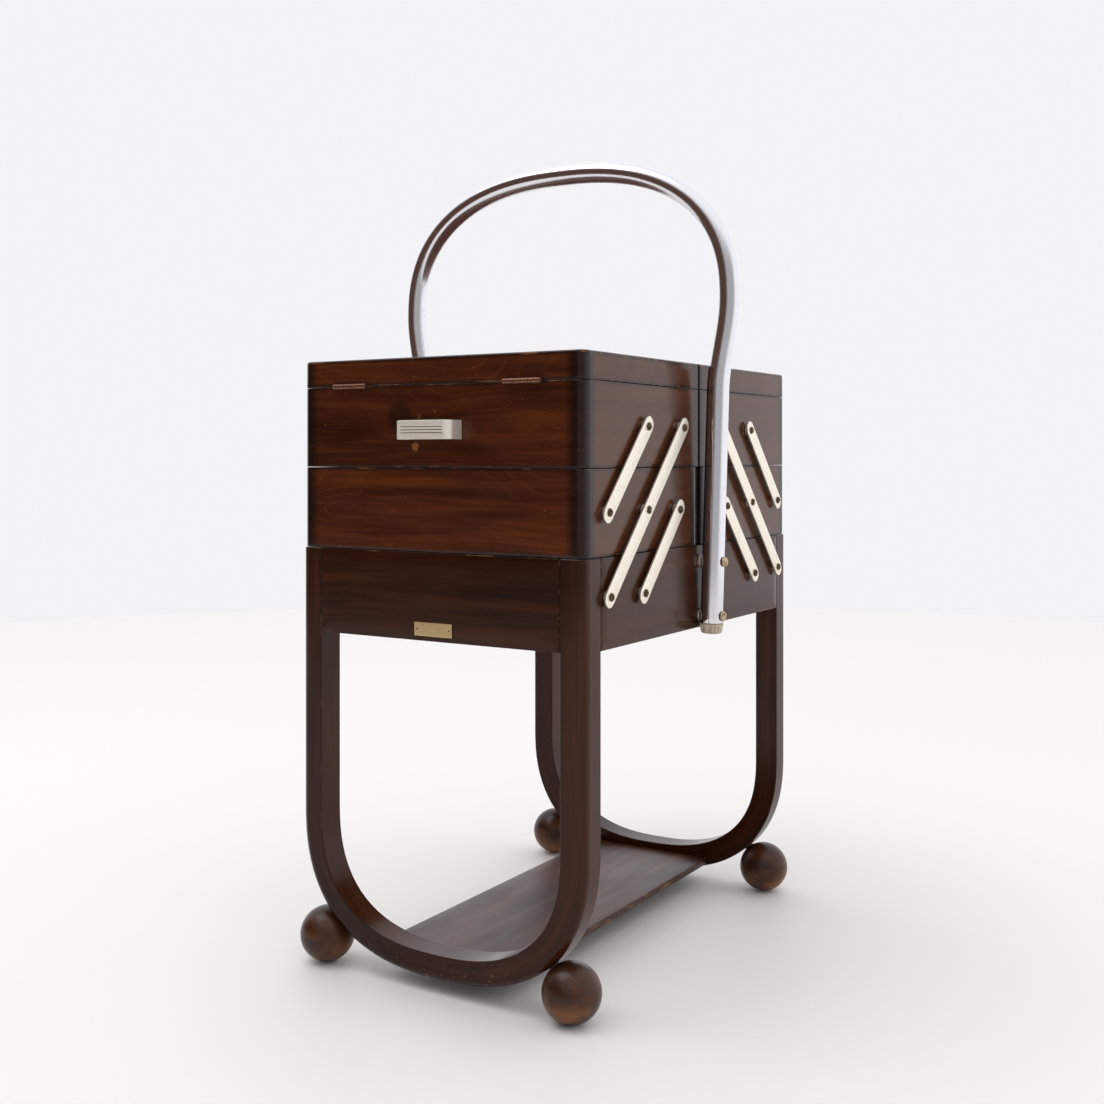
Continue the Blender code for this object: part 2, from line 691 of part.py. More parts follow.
def halves():
    """Everything that opens with each half."""
    upper, long, lower = (LINK_PIVOTS[n] for n in ("upper_link", "long_link", "lower_link"))
    for half in HALVES:
        mid_pivots = (upper[0], long[1], lower[1])
        tray(half + "_mid_tray", half, MID_UNDERSIDE, MID_TRAY_HEIGHT, CORNER_RADIUS,
             mid_pivots, False)
        top_pivots = (upper[1], long[2])
        tray(half + "_top_tray", half, TOP_UNDERSIDE, TOP_TRAY_HEIGHT, TOP_MEETING_RADIUS,
             top_pivots, True)
        lid(half)
        hinges(half)
        pull(half)


# Handle


def handle_path():
    """Right half of the tube's centre line in XZ, from its lower end to the top of the arch."""
    foot = Vector((BOX_END + TUBE_STANDOFF + TUBE_DIAMETER / 2, BOX_UNDERSIDE + TUBE_END_RISE))
    pass_by = Vector((foot.x + TUBE_SPREAD, TOP_RIM))
    spring = Vector((pass_by.x + ARCH_BULGE, LID_TOP + ARCH_SPRING))
    top = LID_TOP + ARCH_TOP - TUBE_DIAMETER / 2
    slope = (pass_by.x - foot.x) / (pass_by.y - foot.y)
    points = [foot.lerp(pass_by, i / 4) for i in range(5)]
    rise = spring.y - pass_by.y
    steps = 7
    for i in range(1, steps + 1):
        t = i / steps
        start_bend = (2 * t**3 - 3 * t**2 + 1) * pass_by.x + (t**3 - 2 * t**2 + t) * slope * rise
        x = start_bend + (3 * t**2 - 2 * t**3) * spring.x
        points.append(Vector((x, pass_by.y + rise * t)))
    power = 2.0 / ARCH_SQUARENESS
    steps = 14
    for i in range(1, steps + 1):
        angle = math.pi / 2 * i / steps
        x = spring.x * max(math.cos(angle), 0.0) ** power if i < steps else 0.0
        points.append(Vector((x, spring.y + (top - spring.y) * math.sin(angle) ** power)))
    return points


def tube_x(height):
    """Distance of the tube's centre line from the middle at a height below the lids."""
    foot, pass_by = handle_path()[0], handle_path()[4]
    return foot.x + (pass_by.x - foot.x) * (height - foot.y) / (pass_by.y - foot.y)


def handle():
    """A bent tube with an end cap, two spacers and two screws at each foot."""
    right = handle_path()
    line = right + [Vector((-p.x, p.y)) for p in reversed(right[:-1])]
    curve = bpy.data.curves.new("tube", "CURVE")
    curve.dimensions = "3D"
    curve.bevel_depth = TUBE_DIAMETER / 2
    curve.bevel_resolution = 6
    curve.twist_mode = "Z_UP"
    path = curve.splines.new("POLY")
    path.points.add(len(line) - 1)
    for point, (x, z) in zip(path.points, line):
        point.co = (x, z, 0.0, 1.0)
    tube = as_mesh(place(new_object("tube", curve), (0.0, 0.0, 0.0), (math.pi / 2, 0.0, 0.0)))
    wall = tube.modifiers.new("wall", "SOLIDIFY")
    wall.thickness = TUBE_WALL
    wall.offset = -1.0
    for side in ENDS.values():
        for rise in (SCREW_LOW_RISE, SCREW_HIGH_RISE):
            bore = cylinder("tube_bore", SCREW_DIAMETER / 2 + BORE_GAP, TUBE_DIAMETER + 0.01)
            height = BOX_UNDERSIDE + rise
            start = side * (tube_x(height) - TUBE_DIAMETER / 2 - 0.005)
            place(bore, (start, 0.0, height), (0.0, side * math.pi / 2, 0.0))
            combine(tube, bore, "DIFFERENCE")
    keep(tube, "handle_tube", CHROME)
    smooth(tube)

    lean = math.atan2(right[4].x - right[0].x, right[4].y - right[0].y)
    for end, side in ENDS.items():
        cap = turned(
            [
                (0.0, PLUG_LENGTH),
                (TUBE_DIAMETER / 2 - TUBE_WALL - BORE_GAP, PLUG_LENGTH),
                (TUBE_DIAMETER / 2 - TUBE_WALL - BORE_GAP, -GAP),
                (TUBE_DIAMETER / 2 + CAP_RIM, -GAP),
                (TUBE_DIAMETER / 2 + CAP_RIM, -0.25 * CAP_LENGTH),
                (TUBE_DIAMETER / 2 + CAP_RIM - CAP_TAPER, -0.8 * CAP_LENGTH),
                (0.8 * TUBE_DIAMETER / 2, -CAP_LENGTH),
                (0.0, -CAP_LENGTH),
            ],
            18,
        )
        place(cap, (side * right[0].x, 0.0, right[0].y), (0.0, side * lean, 0.0))
        keep(cap, f"handle_cap_{end}", CAP_PLASTIC)
        for level, rise in (("lower", SCREW_LOW_RISE), ("upper", SCREW_HIGH_RISE)):
            height = BOX_UNDERSIDE + rise
            tube_face = tube_x(height) - TUBE_DIAMETER / 2
            spacer = turned(
                [
                    (SCREW_DIAMETER / 2 + BORE_GAP, tube_face - GAP - BOX_END),
                    (SPACER_DIAMETER / 2, tube_face - GAP - BOX_END),
                    (SPACER_DIAMETER / 2, GAP),
                    (SCREW_DIAMETER / 2 + BORE_GAP, GAP),
                    (SCREW_DIAMETER / 2 + BORE_GAP, tube_face - GAP - BOX_END),
                ],
                16,
            )
            place(spacer, (side * BOX_END, 0.0, height), (0.0, side * math.pi / 2, 0.0))
            keep(spacer, f"handle_spacer_{end}_{level}", NICKEL)
            head = tube_x(height) + TUBE_DIAMETER / 2 + GAP - BOX_END
            dome = [
                (SCREW_HEAD_DIAMETER / 2 * math.sin(a), head + SCREW_HEAD_HEIGHT * math.cos(a))
                for a in (math.pi / 2 * i / 4 for i in range(5))
            ]
            screw = turned(
                [
                    *dome,
                    (SCREW_DIAMETER / 2, head),
                    (SCREW_DIAMETER / 2, -SCREW_DEPTH + 0.002),
                    (0.0, -SCREW_DEPTH),
                ],
                14,
            )
            place(screw, (side * BOX_END, 0.0, height), (0.0, side * math.pi / 2, 0.0))
            keep(screw, f"handle_screw_{end}_{level}", NICKEL)


def turned(profile, steps):
    """A solid of revolution about local Z from (radius, height) points down its outer side."""
    mesh = bpy.data.meshes.new("turned")
    mesh.from_pydata([(r, 0.0, z) for r, z in profile],
                     [(i, i + 1) for i in range(len(profile) - 1)], [])
    obj = new_object("turned", mesh)
    screw = obj.modifiers.new("turn", "SCREW")
    screw.axis = "Z"
    screw.steps = steps
    screw.render_steps = steps
    screw.use_merge_vertices = True
    screw.merge_threshold = 1e-5
    screw.use_smooth_shade = True
    return obj


def plate():
    """A small blank plate low on the front panel."""
    face = -BOX_FACE - GAP
    low = (-PLATE_LENGTH / 2, face - PLATE_THICKNESS, BOX_UNDERSIDE + PLATE_RISE)
    high = (PLATE_LENGTH / 2, face, BOX_UNDERSIDE + PLATE_RISE + PLATE_HEIGHT)
    keep(block("plate", low, high), "front_plate", BRASS)


lower_box()
leg_frames()
ball_feet()
halves()
links()
handle()
plate()
bpy.context.view_layer.update()
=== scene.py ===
# Looks of a cantilever sewing box with trays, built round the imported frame.
# Everything is in metres. The floor is z = 0, +X runs along the trays, -Y is the front with the plate.
import json
import math
import bpy
import numpy as np
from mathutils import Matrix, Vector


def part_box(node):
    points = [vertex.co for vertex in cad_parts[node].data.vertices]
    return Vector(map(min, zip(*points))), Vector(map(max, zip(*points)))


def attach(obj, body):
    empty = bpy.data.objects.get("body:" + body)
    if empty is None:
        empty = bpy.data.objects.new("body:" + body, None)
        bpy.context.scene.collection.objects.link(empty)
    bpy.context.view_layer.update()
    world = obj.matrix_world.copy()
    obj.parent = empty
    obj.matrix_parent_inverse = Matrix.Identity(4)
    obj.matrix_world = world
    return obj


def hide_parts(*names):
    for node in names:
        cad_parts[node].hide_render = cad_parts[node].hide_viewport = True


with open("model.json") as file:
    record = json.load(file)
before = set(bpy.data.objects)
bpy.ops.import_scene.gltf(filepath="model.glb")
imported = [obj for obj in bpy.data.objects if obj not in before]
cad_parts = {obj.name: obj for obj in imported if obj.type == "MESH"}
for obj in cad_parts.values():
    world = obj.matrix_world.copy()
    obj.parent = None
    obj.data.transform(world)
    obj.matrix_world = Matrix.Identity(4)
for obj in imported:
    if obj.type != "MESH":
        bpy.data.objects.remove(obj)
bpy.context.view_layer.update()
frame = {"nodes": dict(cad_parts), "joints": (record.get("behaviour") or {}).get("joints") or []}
scene = bpy.context.scene
pivots = {joint["name"]: np.array(joint["pos_m"][1:]) for joint in frame["joints"]}
ends = {"left": -1, "right": 1}
halves = {"front": -1, "back": 1}
print("frame loaded:", len(frame["nodes"]), "nodes")


def span(node):
    # lowest and highest corner of a node as arrays
    low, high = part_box(node)
    return np.array(low), np.array(high)


sizes = {
    "boxEnd": span("box_right_panel")[1][0],
    "boxFace": span("box_back_panel")[1][1],
    "boxUnder": span("box_right_panel")[0][2],
    "boxRim": span("box_right_panel")[1][2],
    "lidUnder": span("front_lid")[0][2],
    "lidTop": span("front_lid")[1][2],
    "trayEnd": span("front_lid")[1][0],
    "trayFace": span("back_lid")[1][1],
    "topUnder": span("front_top_tray_bottom")[0][2],
    "gap": 0.0003,
}


def linear(hexText):
    # sRGB to linear, channel by channel: c / 12.92 up to 0.04045, above it ((c + 0.055) / 1.055) ^ 2.4
    channels = np.array([int(hexText[i:i + 2], 16) / 255 for i in (1, 3, 5)])
    curved = ((channels + 0.055) / 1.055) ** 2.4
    return [*np.where(channels <= 0.04045, channels / 12.92, curved), 1.0]


def addNode(tree, kind, inputs=None, **settings):
    # one node with its settings; a socket among the inputs is linked, anything else is a value
    made = tree.nodes.new("ShaderNode" + kind)
    for name, value in settings.items():
        setattr(made, name, value)
    for key, value in (inputs or {}).items():
        if isinstance(value, bpy.types.NodeSocket):
            tree.links.new(value, made.inputs[key])
        else:
            made.inputs[key].default_value = value
    return made


def startMaterial(name, values):
    # a material with its Principled node and the values that are the same all over it
    material = bpy.data.materials.new(name)
    material.use_nodes = True
    tree = material.node_tree
    shader = tree.nodes["Principled BSDF"]
    for key, value in values.items():
        shader.inputs[key].default_value = linear(value) if isinstance(value, str) else value
    return material, tree, shader


trayWoodLook = {
    "dark": "#2b1207", "body": "#4a210f", "bright": "#6c3618", "black": "#130b09", "bare": "#94603a",
    "end": "#543424", "endSheenShare": 0.55,  # end faces get a painted grey sheen, the bright wall reflected at grazing angles
    # length along the grain and width across it in metres, and detail
    "clouds": {"figure": (0.26, 0.055, 3.0), "growth": (0.31, 0.072, 1.0), "broad": (0.22, 0.0132, 2.0),
               "streaks": (0.11, 0.0022, 3.0)},
    "streaks": 0.20, "lines": 0.22, "flecks": 0.22, "corner": (0.013, 0.85), "seamShade": 0.70, "wear": 0.55,
    "scuffs": 0.30, "scuffFrom": 0.69, "scuffTop": 2.0, "lowWearAndShade": 0.0,
    "roughness": 0.18, "specular": 0.30,
    # chips and a blotch by the front pull: to the right of its middle, above it, size, strength and colour
    "marks": [(-0.0195, -0.0135, 0.0048, 0.75, "bare"), (-0.0380, 0.0150, 0.0180, 0.60, "black"),
              (0.0030, 0.0190, 0.0020, 0.50, "bare"), (-0.0150, 0.0140, 0.0034, 0.30, "bare")],
}
cabinetWoodLook = {
    **trayWoodLook,
    "dark": "#220e07", "body": "#3a1b0e", "bright": "#532a15", "black": "#150a07", "bare": "#84603f",
    "end": "#452c1f", "endSheenShare": 0.45,
    "clouds": {"figure": (0.30, 0.050, 3.0), "growth": (0.36, 0.065, 1.0), "broad": (0.26, 0.0144, 2.0),
               "streaks": (0.13, 0.0024, 3.0)},
    "streaks": 0.16, "lines": 0.08, "flecks": 0.18, "corner": (0.006, 0.30), "seamShade": 0.25, "wear": 0.50,
    "scuffs": 0.55, "scuffFrom": 0.64, "scuffTop": 0.050, "specular": 0.20, "marks": [],
}
shelfWoodLook = {
    **cabinetWoodLook, "dark": "#2e180f", "body": "#4c2b1b", "bright": "#664029",
    "streaks": 0.34, "lines": 0.20, "scuffs": 0.0, "roughness": 0.34, "specular": 0.30,
}
ballWoodLook = {
    **cabinetWoodLook, "dark": "#2a140b", "body": "#432210", "bright": "#5f3519", "bare": "#8f5c2b",
    "clouds": {"figure": (0.050, 0.030, 3.0), "growth": (0.06, 0.039, 1.0), "broad": (0.10, 0.0132, 2.0),
               "streaks": (0.05, 0.0022, 3.0)},
    "endSheenShare": 0.0, "corner": (0.006, 0.0), "seamShade": 0.0, "wear": 0.0,
    "scuffs": 0.25, "scuffFrom": 0.69, "scuffTop": 0.060, "lowWearAndShade": 0.75,
    "roughness": 0.30, "specular": 0.34,
}
plywoodLook = {
    **ballWoodLook,
    "dark": "#6b4a2c", "body": "#8a6540", "bright": "#a88258", "black": "#5a3e26", "bare": "#b08a60",
    "clouds": {"figure": (0.20, 0.040, 3.0), "growth": (0.24, 0.052, 1.0), "broad": (0.20, 0.0108, 2.0),
               "streaks": (0.10, 0.0018, 3.0)},
    "streaks": 0.30, "lines": 0.30, "scuffs": 0.0, "lowWearAndShade": 0.0, "roughness": 0.55, "specular": 0.30,
}
woodPatterns = {
    # what every stained wood shares; a fleck is 6 mm by 0.7 mm, coarser than real beech so that it shows
    "clouds": {"flecks": (0.006, 0.0007, 1.0), "patches": (0.030, 0.005, 4.0),
               "smears": (0.070, 0.025, 4.0), "scuffs": (0.005, 0.0022, 3.0)},
    "swayRate": (7.7, 16.7, 16.7), "sway": (0.0, 0.010, 0.010),  # the grain wanders sideways by up to 10 mm
    "jitterRate": 300.0, "jitter": (0.004, 0.0, 0.004),  # and the marks' outlines by up to 4 mm
    # the seam reach is how far the painted shade in the seams and along board edges goes from an edge
    "rings": 130.0, "gloss": (-0.03, 0.07), "seamShadeReach": 0.0035, "rubbedReach": (0.0010, 0.0001),
    # between these heights the balls turn lighter towards the bottom in tan patches: foot wear, together with
    # painted shade that leaves their tops darker
    "lowWearAndShadeHeights": (0.032, 0.004), "scuffFade": 0.03, "bump": {"Strength": 0.10, "Distance": 0.0002},
}


def stainedWood(name, look):
    # stained beech under shellac: soft broad bands, thin wandering growth lines and short dark flecks along
    # the grain in a quiet gloss, almost black towards upright corners, with painted shade in the seams and a
    # painted grey sheen on end faces, and bare along rubbed edges; a pattern is noise of the grain coordinate
    # over its own length and width
    material, tree, shader = startMaterial(name, {"IOR": 1.5, "Specular IOR Level": look["specular"]})
    place = addNode(tree, "Attribute", attribute_name="grain").outputs["Vector"]
    near = addNode(tree, "Attribute", attribute_name="edges").outputs["Vector"]
    near = addNode(tree, "SeparateXYZ", {0: near})
    spot = addNode(tree, "TexCoord").outputs["Object"]
    height = addNode(tree, "SeparateXYZ", {0: spot}).outputs["Z"]
    normal = addNode(tree, "NewGeometry").outputs["Normal"]
    sideways = addNode(tree, "SeparateXYZ", {0: normal}).outputs["X"]
    endwise = addNode(tree, "Math", {0: sideways}, operation="ABSOLUTE").outputs[0]
    slow = addNode(tree, "VectorMath", {0: place, 1: woodPatterns["swayRate"]},
                   operation="MULTIPLY").outputs[0]
    wander = addNode(tree, "TexNoise", {"Vector": slow, "Scale": 1.0, "Detail": 1.0}).outputs["Color"]
    swayed = addNode(tree, "VectorMath", {0: wander, 1: woodPatterns["sway"], 2: place},
                     operation="MULTIPLY_ADD").outputs[0]
    jitter = addNode(tree, "TexNoise", {"Vector": spot, "Scale": woodPatterns["jitterRate"], "Detail": 3.0})
    shaken = addNode(tree, "VectorMath", {0: jitter.outputs["Color"], 1: woodPatterns["jitter"], 2: spot},
                     operation="MULTIPLY_ADD").outputs[0]
    cloud = {}
    for kind, (along, across, detail) in {**look["clouds"], **woodPatterns["clouds"]}.items():
        counted = addNode(tree, "VectorMath", {0: swayed, 1: (1 / along, 1 / across, 1 / across)},
                          operation="MULTIPLY").outputs[0]
        cloud[kind] = addNode(tree, "TexNoise", {"Vector": counted, "Scale": 1.0, "Detail": detail,
                                                 "Roughness": 0.55}).outputs["Fac"]
    # growth lines are the sine of a slow noise, so they follow its level lines
    rings = addNode(tree, "Math", {0: cloud["growth"], 1: woodPatterns["rings"]}, operation="MULTIPLY")
    lines = addNode(tree, "Math", {0: rings.outputs[0]}, operation="SINE").outputs[0]
    cornerReach, cornerShare = look["corner"]
    scuffFrom, scuffTop = look["scuffFrom"], look["scuffTop"]
    # each layer: what it follows, from where to where, how strong, which colour, and what it is held to
    layers = [
        (cloud["figure"], 0.30, 0.68, 1.0, "body", None),
        (cloud["broad"], 0.42, 0.78, 0.55, "bright", None),
        (cloud["streaks"], 0.50, 0.75, look["streaks"], "bright", None),
        (cloud["streaks"], 0.50, 0.25, look["streaks"] * 1.6, "dark", None),
        (lines, 0.72, 1.0, look["lines"], "bright", (cloud["figure"], 0.40, 0.60)),
        (cloud["flecks"], 0.66, 0.78, look["flecks"], "black", None),
        # painted grey sheen: faces turned along X take the end grey, standing for the bright wall reflected
        # at grazing angles
        (endwise, 0.80, 0.98, look["endSheenShare"], "end", None),
        # almost black next to upright corners, fading out over the first of the corner values
        (near.outputs["Y"], cornerReach, 0.0, cornerShare, "black", None),
        # painted shade: seams and board edges darken towards black within the seam reach, standing for the
        # shade in the gaps between parts
        (near.outputs["X"], woodPatterns["seamShadeReach"], 0.0, look["seamShade"], "black", None),
        # lighter tan patches low down: foot wear, and painted shade, the leg frame's shadow keeping the tops
        # darker
        (cloud["figure"], 0.38, 0.62, look["lowWearAndShade"], "bare", (height, *woodPatterns["lowWearAndShadeHeights"])),
        (cloud["scuffs"], scuffFrom, scuffFrom + 0.04, look["scuffs"], "bare",
         (height, scuffTop, scuffTop - woodPatterns["scuffFade"])),
        (cloud["patches"], 0.54, 0.66, look["wear"], "bare",
         (near.outputs["X"], *woodPatterns["rubbedReach"])),
    ]
    pullLow, pullHigh = span("front_pull")
    for aside, above, reach, strength, tone in look["marks"]:
        centre = (aside, -sizes["trayFace"], (pullLow[2] + pullHigh[2]) / 2 + above)
        apart = addNode(tree, "VectorMath", {0: shaken, 1: centre}, operation="DISTANCE").outputs["Value"]
        layers.append((apart, reach, reach * 0.5, strength, tone, None))
    colour = linear(look["dark"])
    for source, low, high, strength, tone, held in layers:
        if held:
            strength = addNode(tree, "MapRange", {0: held[0], 1: held[1], 2: held[2], 4: strength},
                               interpolation_type="SMOOTHSTEP").outputs[0]
        share = addNode(tree, "MapRange", {0: source, 1: low, 2: high, 4: strength},
                        interpolation_type="SMOOTHSTEP").outputs[0]
        colour = addNode(tree, "Mix", {0: share, 6: colour, 7: linear(look[tone])},
                         data_type="RGBA").outputs[2]
    tree.links.new(colour, shader.inputs["Base Color"])
    smooth, rough = (look["roughness"] + step for step in woodPatterns["gloss"])
    gloss = addNode(tree, "MapRange", {0: cloud["smears"], 1: 0.3, 2: 0.7, 3: smooth, 4: rough}).outputs[0]
    tree.links.new(gloss, shader.inputs["Roughness"])
    bump = addNode(tree, "Bump", {**woodPatterns["bump"], "Height": cloud["streaks"]})
    tree.links.new(bump.outputs["Normal"], shader.inputs["Normal"])
    return material


def metal(name, look):
    # a metal under cloudy tarnish: noise of the place over the size of a cloud in metres darkens and
    # roughens it, and it is darker where the third of the edges values says that the piece is sunk
    material, tree, shader = startMaterial(name, {"Metallic": look.get("metallic", 1.0)})
    place = addNode(tree, "TexCoord").outputs["Object"]
    counted = addNode(tree, "VectorMath", {0: place, 1: tuple(1 / size for size in look["cloud"])},
                      operation="MULTIPLY").outputs[0]
    cloud = addNode(tree, "TexNoise", {"Vector": counted, "Scale": 1.0, "Detail": 5.0,
                                       "Roughness": 0.65}).outputs["Fac"]
    near = addNode(tree, "Attribute", attribute_name="edges").outputs["Vector"]
    sunk = addNode(tree, "SeparateXYZ", {0: near}).outputs["Z"]
    colour = linear(look["base"])
    layers = [(cloud, 0.48, 0.72, look["tarnish"], look["second"]), (sunk, 0.15, 0.70, 0.85, sunkDarkTone)]
    for source, low, high, strength, tone in layers:
        share = addNode(tree, "MapRange", {0: source, 1: low, 2: high, 4: strength},
                        interpolation_type="SMOOTHSTEP").outputs[0]
        colour = addNode(tree, "Mix", {0: share, 6: colour, 7: linear(tone)}, data_type="RGBA").outputs[2]
    tree.links.new(colour, shader.inputs["Base Color"])
    smooth, rough = look["roughness"]
    gloss = addNode(tree, "MapRange", {0: cloud, 1: 0.35, 2: 0.70, 3: smooth, 4: rough}).outputs[0]
    tree.links.new(gloss, shader.inputs["Roughness"])
    return material


def agedPlastic(name, look):
    # a moulded plug of old casein plastic: matt, yellowed and rubbed, two colours mixed by a fine noise
    material, tree, shader = startMaterial(name, {"Roughness": look["roughness"]})
    place = addNode(tree, "TexCoord").outputs["Object"]
    counted = addNode(tree, "VectorMath", {0: place, 1: tuple(1 / size for size in look["cloud"])},
                      operation="MULTIPLY").outputs[0]
    cloud = addNode(tree, "TexNoise", {"Vector": counted, "Scale": 1.0, "Detail": 4.0,
                                       "Roughness": 0.6}).outputs["Fac"]
    share = addNode(tree, "MapRange", {0: cloud, 1: 0.35, 2: 0.70},
                    interpolation_type="SMOOTHSTEP").outputs[0]
    colour = addNode(tree, "Mix", {0: share, 6: linear(look["base"]), 7: linear(look["second"])},
                     data_type="RGBA").outputs[2]
    tree.links.new(colour, shader.inputs["Base Color"])
    return material


# cloud is the size of the tarnish's clouds in metres, and roughness runs from its clean to its cloudy parts
metalLooks = {
    "polishedChromeTube": {"base": "#e2e2e6", "second": "#c4c2c6", "roughness": (0.13, 0.17),
                           "cloud": (0.0015, 0.0015, 0.006), "tarnish": 0.4},
    "satinNickelStrip": {"base": "#f0e9dc", "second": "#c4b79c", "roughness": (0.36, 0.48),
                         "cloud": (0.0022, 0.0022, 0.0022), "tarnish": 0.45},
    "brownedSteelScrews": {"base": "#5c4e3a", "second": "#241c14", "roughness": (0.30, 0.53),
                           "cloud": (0.0015, 0.0015, 0.0015), "tarnish": 0.9},
    "tarnishedNickelScrews": {"base": "#c4ae92", "second": "#7a5632", "roughness": (0.30, 0.50),
                              "cloud": (0.002, 0.002, 0.002), "tarnish": 0.9},
    # worn aluminium is dull with oxide, so it is metallic only in part
    "satinAluminiumPull": {"base": "#f2ece0", "second": "#cfc4aa", "roughness": (0.40, 0.52),
                           "cloud": (0.012, 0.0010, 0.0010), "tarnish": 0.40, "metallic": 0.55},
    "copperedSteelHinges": {"base": "#7d5a48", "second": "#38231c", "roughness": (0.30, 0.52),
                            "cloud": (0.0018, 0.0018, 0.0018), "tarnish": 0.8},
    "rolledBrassPlate": {"base": "#d6bd8e", "second": "#9a7a4a", "roughness": (0.30, 0.50),
                         "cloud": (0.002, 0.002, 0.002), "tarnish": 0.6},
}
# the darker tone of sunk places, the grooves of the pull
sunkDarkTone = "#4a4034"
plugLook = {"base": "#c9bda4", "second": "#8f7f66", "roughness": 0.5, "cloud": (0.0038, 0.0038, 0.0062)}
finishes = {
    "trayWood": stainedWood("stainedBeechTrays", trayWoodLook),
    "cabinetWood": stainedWood("stainedBeechCabinet", cabinetWoodLook),
    "shelfWood": stainedWood("stainedBeechShelf", shelfWoodLook),
    "ballWood": stainedWood("turnedStainedBeech", ballWoodLook),
    "plywood": stainedWood("birchPlywood", plywoodLook),
    "yellowedCaseinPlug": agedPlastic("yellowedCaseinPlug", plugLook),
    **{name: metal(name, look) for name, look in metalLooks.items()},
}
print("materials ready:", len(finishes))


def wrapped(values, alsoRows):
    # the values with the first column repeated at the end, and the first row too where rows close
    values = np.concatenate([values, values[:, :1]], axis=1)
    return np.concatenate([values, values[:1]], axis=0) if alsoRows else values


farAway = 0.05  # stands for no edge or corner near


def plainGrid(points, rowsClose=False):
    # a grid whose grain follows the place itself and that has no edge near
    return points, wrapped(points, rowsClose), np.full(points.shape, farAway), rowsClose


def gridFaces(points, rowsClose):
    # quads between neighbours of a grid whose columns close round; open ends get one flat face each
    rows, columns = points.shape[:2]
    index = wrapped(np.arange(rows * columns).reshape(rows, columns), rowsClose)
    corners = (slice(None, -1), slice(1, None))
    order = ((0, 0), (1, 0), (1, 1), (0, 1))
    quads = np.stack([index[corners[a], corners[b]] for a, b in order], axis=-1).reshape(-1, 4)
    return index, quads, [(corners[a], corners[b]) for a, b in order]


def volumeOf(points, quads):
    # signed volume under a set of quads: a sum of tetrahedra with their tip at the mean point
    moved = points - points.mean(axis=0)
    a, b, c, d = (moved[quads[:, k]] for k in range(4))
    return (np.einsum("ij,ij->i", a, np.cross(b, c)) + np.einsum("ij,ij->i", a, np.cross(c, d))).sum()


def makePiece(name, grids, finish, body, replaced=(), sharp=35):
    # one mesh from grids of (points, grain, edges, rowsClose), turned outwards where their volume is
    # negative; grain has one more column than points, and one more row where rows close
    points, faces, grain, edges, offset = [], [], [], [], 0
    for gridPoints, gridGrain, gridEdges, rowsClose in grids:
        flat = gridPoints.reshape(-1, 3)
        index, quads, corners = gridFaces(gridPoints, rowsClose)
        quadGrain = np.stack([gridGrain[c] for c in corners], axis=-2).reshape(-1, 4, 3)
        caps = [] if rowsClose else [index[0, :-1], index[-1, :-1][::-1]]
        capGrain = [] if rowsClose else [gridGrain[0, :-1], gridGrain[-1, :-1][::-1]]
        if volumeOf(flat, quads) < 0:
            quads, quadGrain = quads[:, ::-1], quadGrain[:, ::-1]
            caps, capGrain = [c[::-1] for c in caps], [g[::-1] for g in capGrain]
        points.append(flat)
        edges.append(gridEdges.reshape(-1, 3))
        faces += (quads + offset).tolist() + [(c + offset).tolist() for c in caps]
        grain += [quadGrain.reshape(-1, 3), *capGrain]
        offset += len(flat)
    mesh = bpy.data.meshes.new(name)
    mesh.from_pydata(np.concatenate(points).tolist(), [], faces)
    for title, domain, values in (("grain", "CORNER", grain), ("edges", "POINT", edges)):
        attribute = mesh.attributes.new(title, "FLOAT_VECTOR", domain)
        attribute.data.foreach_set("vector", np.concatenate(values).ravel())
    mesh.shade_smooth()
    mesh.set_sharp_from_angle(angle=math.radians(sharp))
    mesh.materials.append(finishes[finish])
    piece = bpy.data.objects.new(name, mesh)
    scene.collection.objects.link(piece)
    if replaced:
        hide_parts(*replaced)
    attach(piece, body)
    return piece


def roundedOutline(low, high, radii, arcSteps=5, sideSteps=14):
    # a rectangle with a quarter arc at each corner, anticlockwise from low-low; the points of a side crowd
    # towards its ends as (1 - cos) / 2; also gives each point's distance to the nearest corner
    low, high = np.array(low, float), np.array(high, float)
    corners = np.array([low, (high[0], low[1]), high, (low[0], high[1])])
    ways = np.array([(1, 1), (-1, 1), (-1, -1), (1, -1)])
    radii = np.asarray(radii, float).reshape(4, 1)
    centres = corners + ways * radii
    angles = math.pi + np.arange(4)[:, None] * math.pi / 2 + np.linspace(0, math.pi / 2, arcSteps + 1)
    arcs = centres[:, None] + radii[:, None] * np.stack([np.cos(angles), np.sin(angles)], axis=-1)
    share = (1 - np.cos(math.pi * np.arange(1, sideSteps + 1) / (sideSteps + 1))) / 2
    starts, stops = arcs[:, -1:], np.roll(arcs, -1, axis=0)[:, :1]
    sides = starts + (stops - starts) * share[:, None]
    lengths = np.linalg.norm(stops - starts, axis=-1)
    far = np.minimum(share, 1 - share) * lengths
    points = np.concatenate([arcs, sides], axis=1).reshape(-1, 2)
    distance = np.concatenate([np.zeros(arcs.shape[:2]), far], axis=1).reshape(-1)
    return points, distance


def along(points):
    # distance run along a closed row of points, with the whole way round as the last value
    steps = np.linalg.norm(np.diff(points, axis=0, append=points[:1]), axis=1)
    return np.concatenate([[0.0], np.cumsum(steps)])


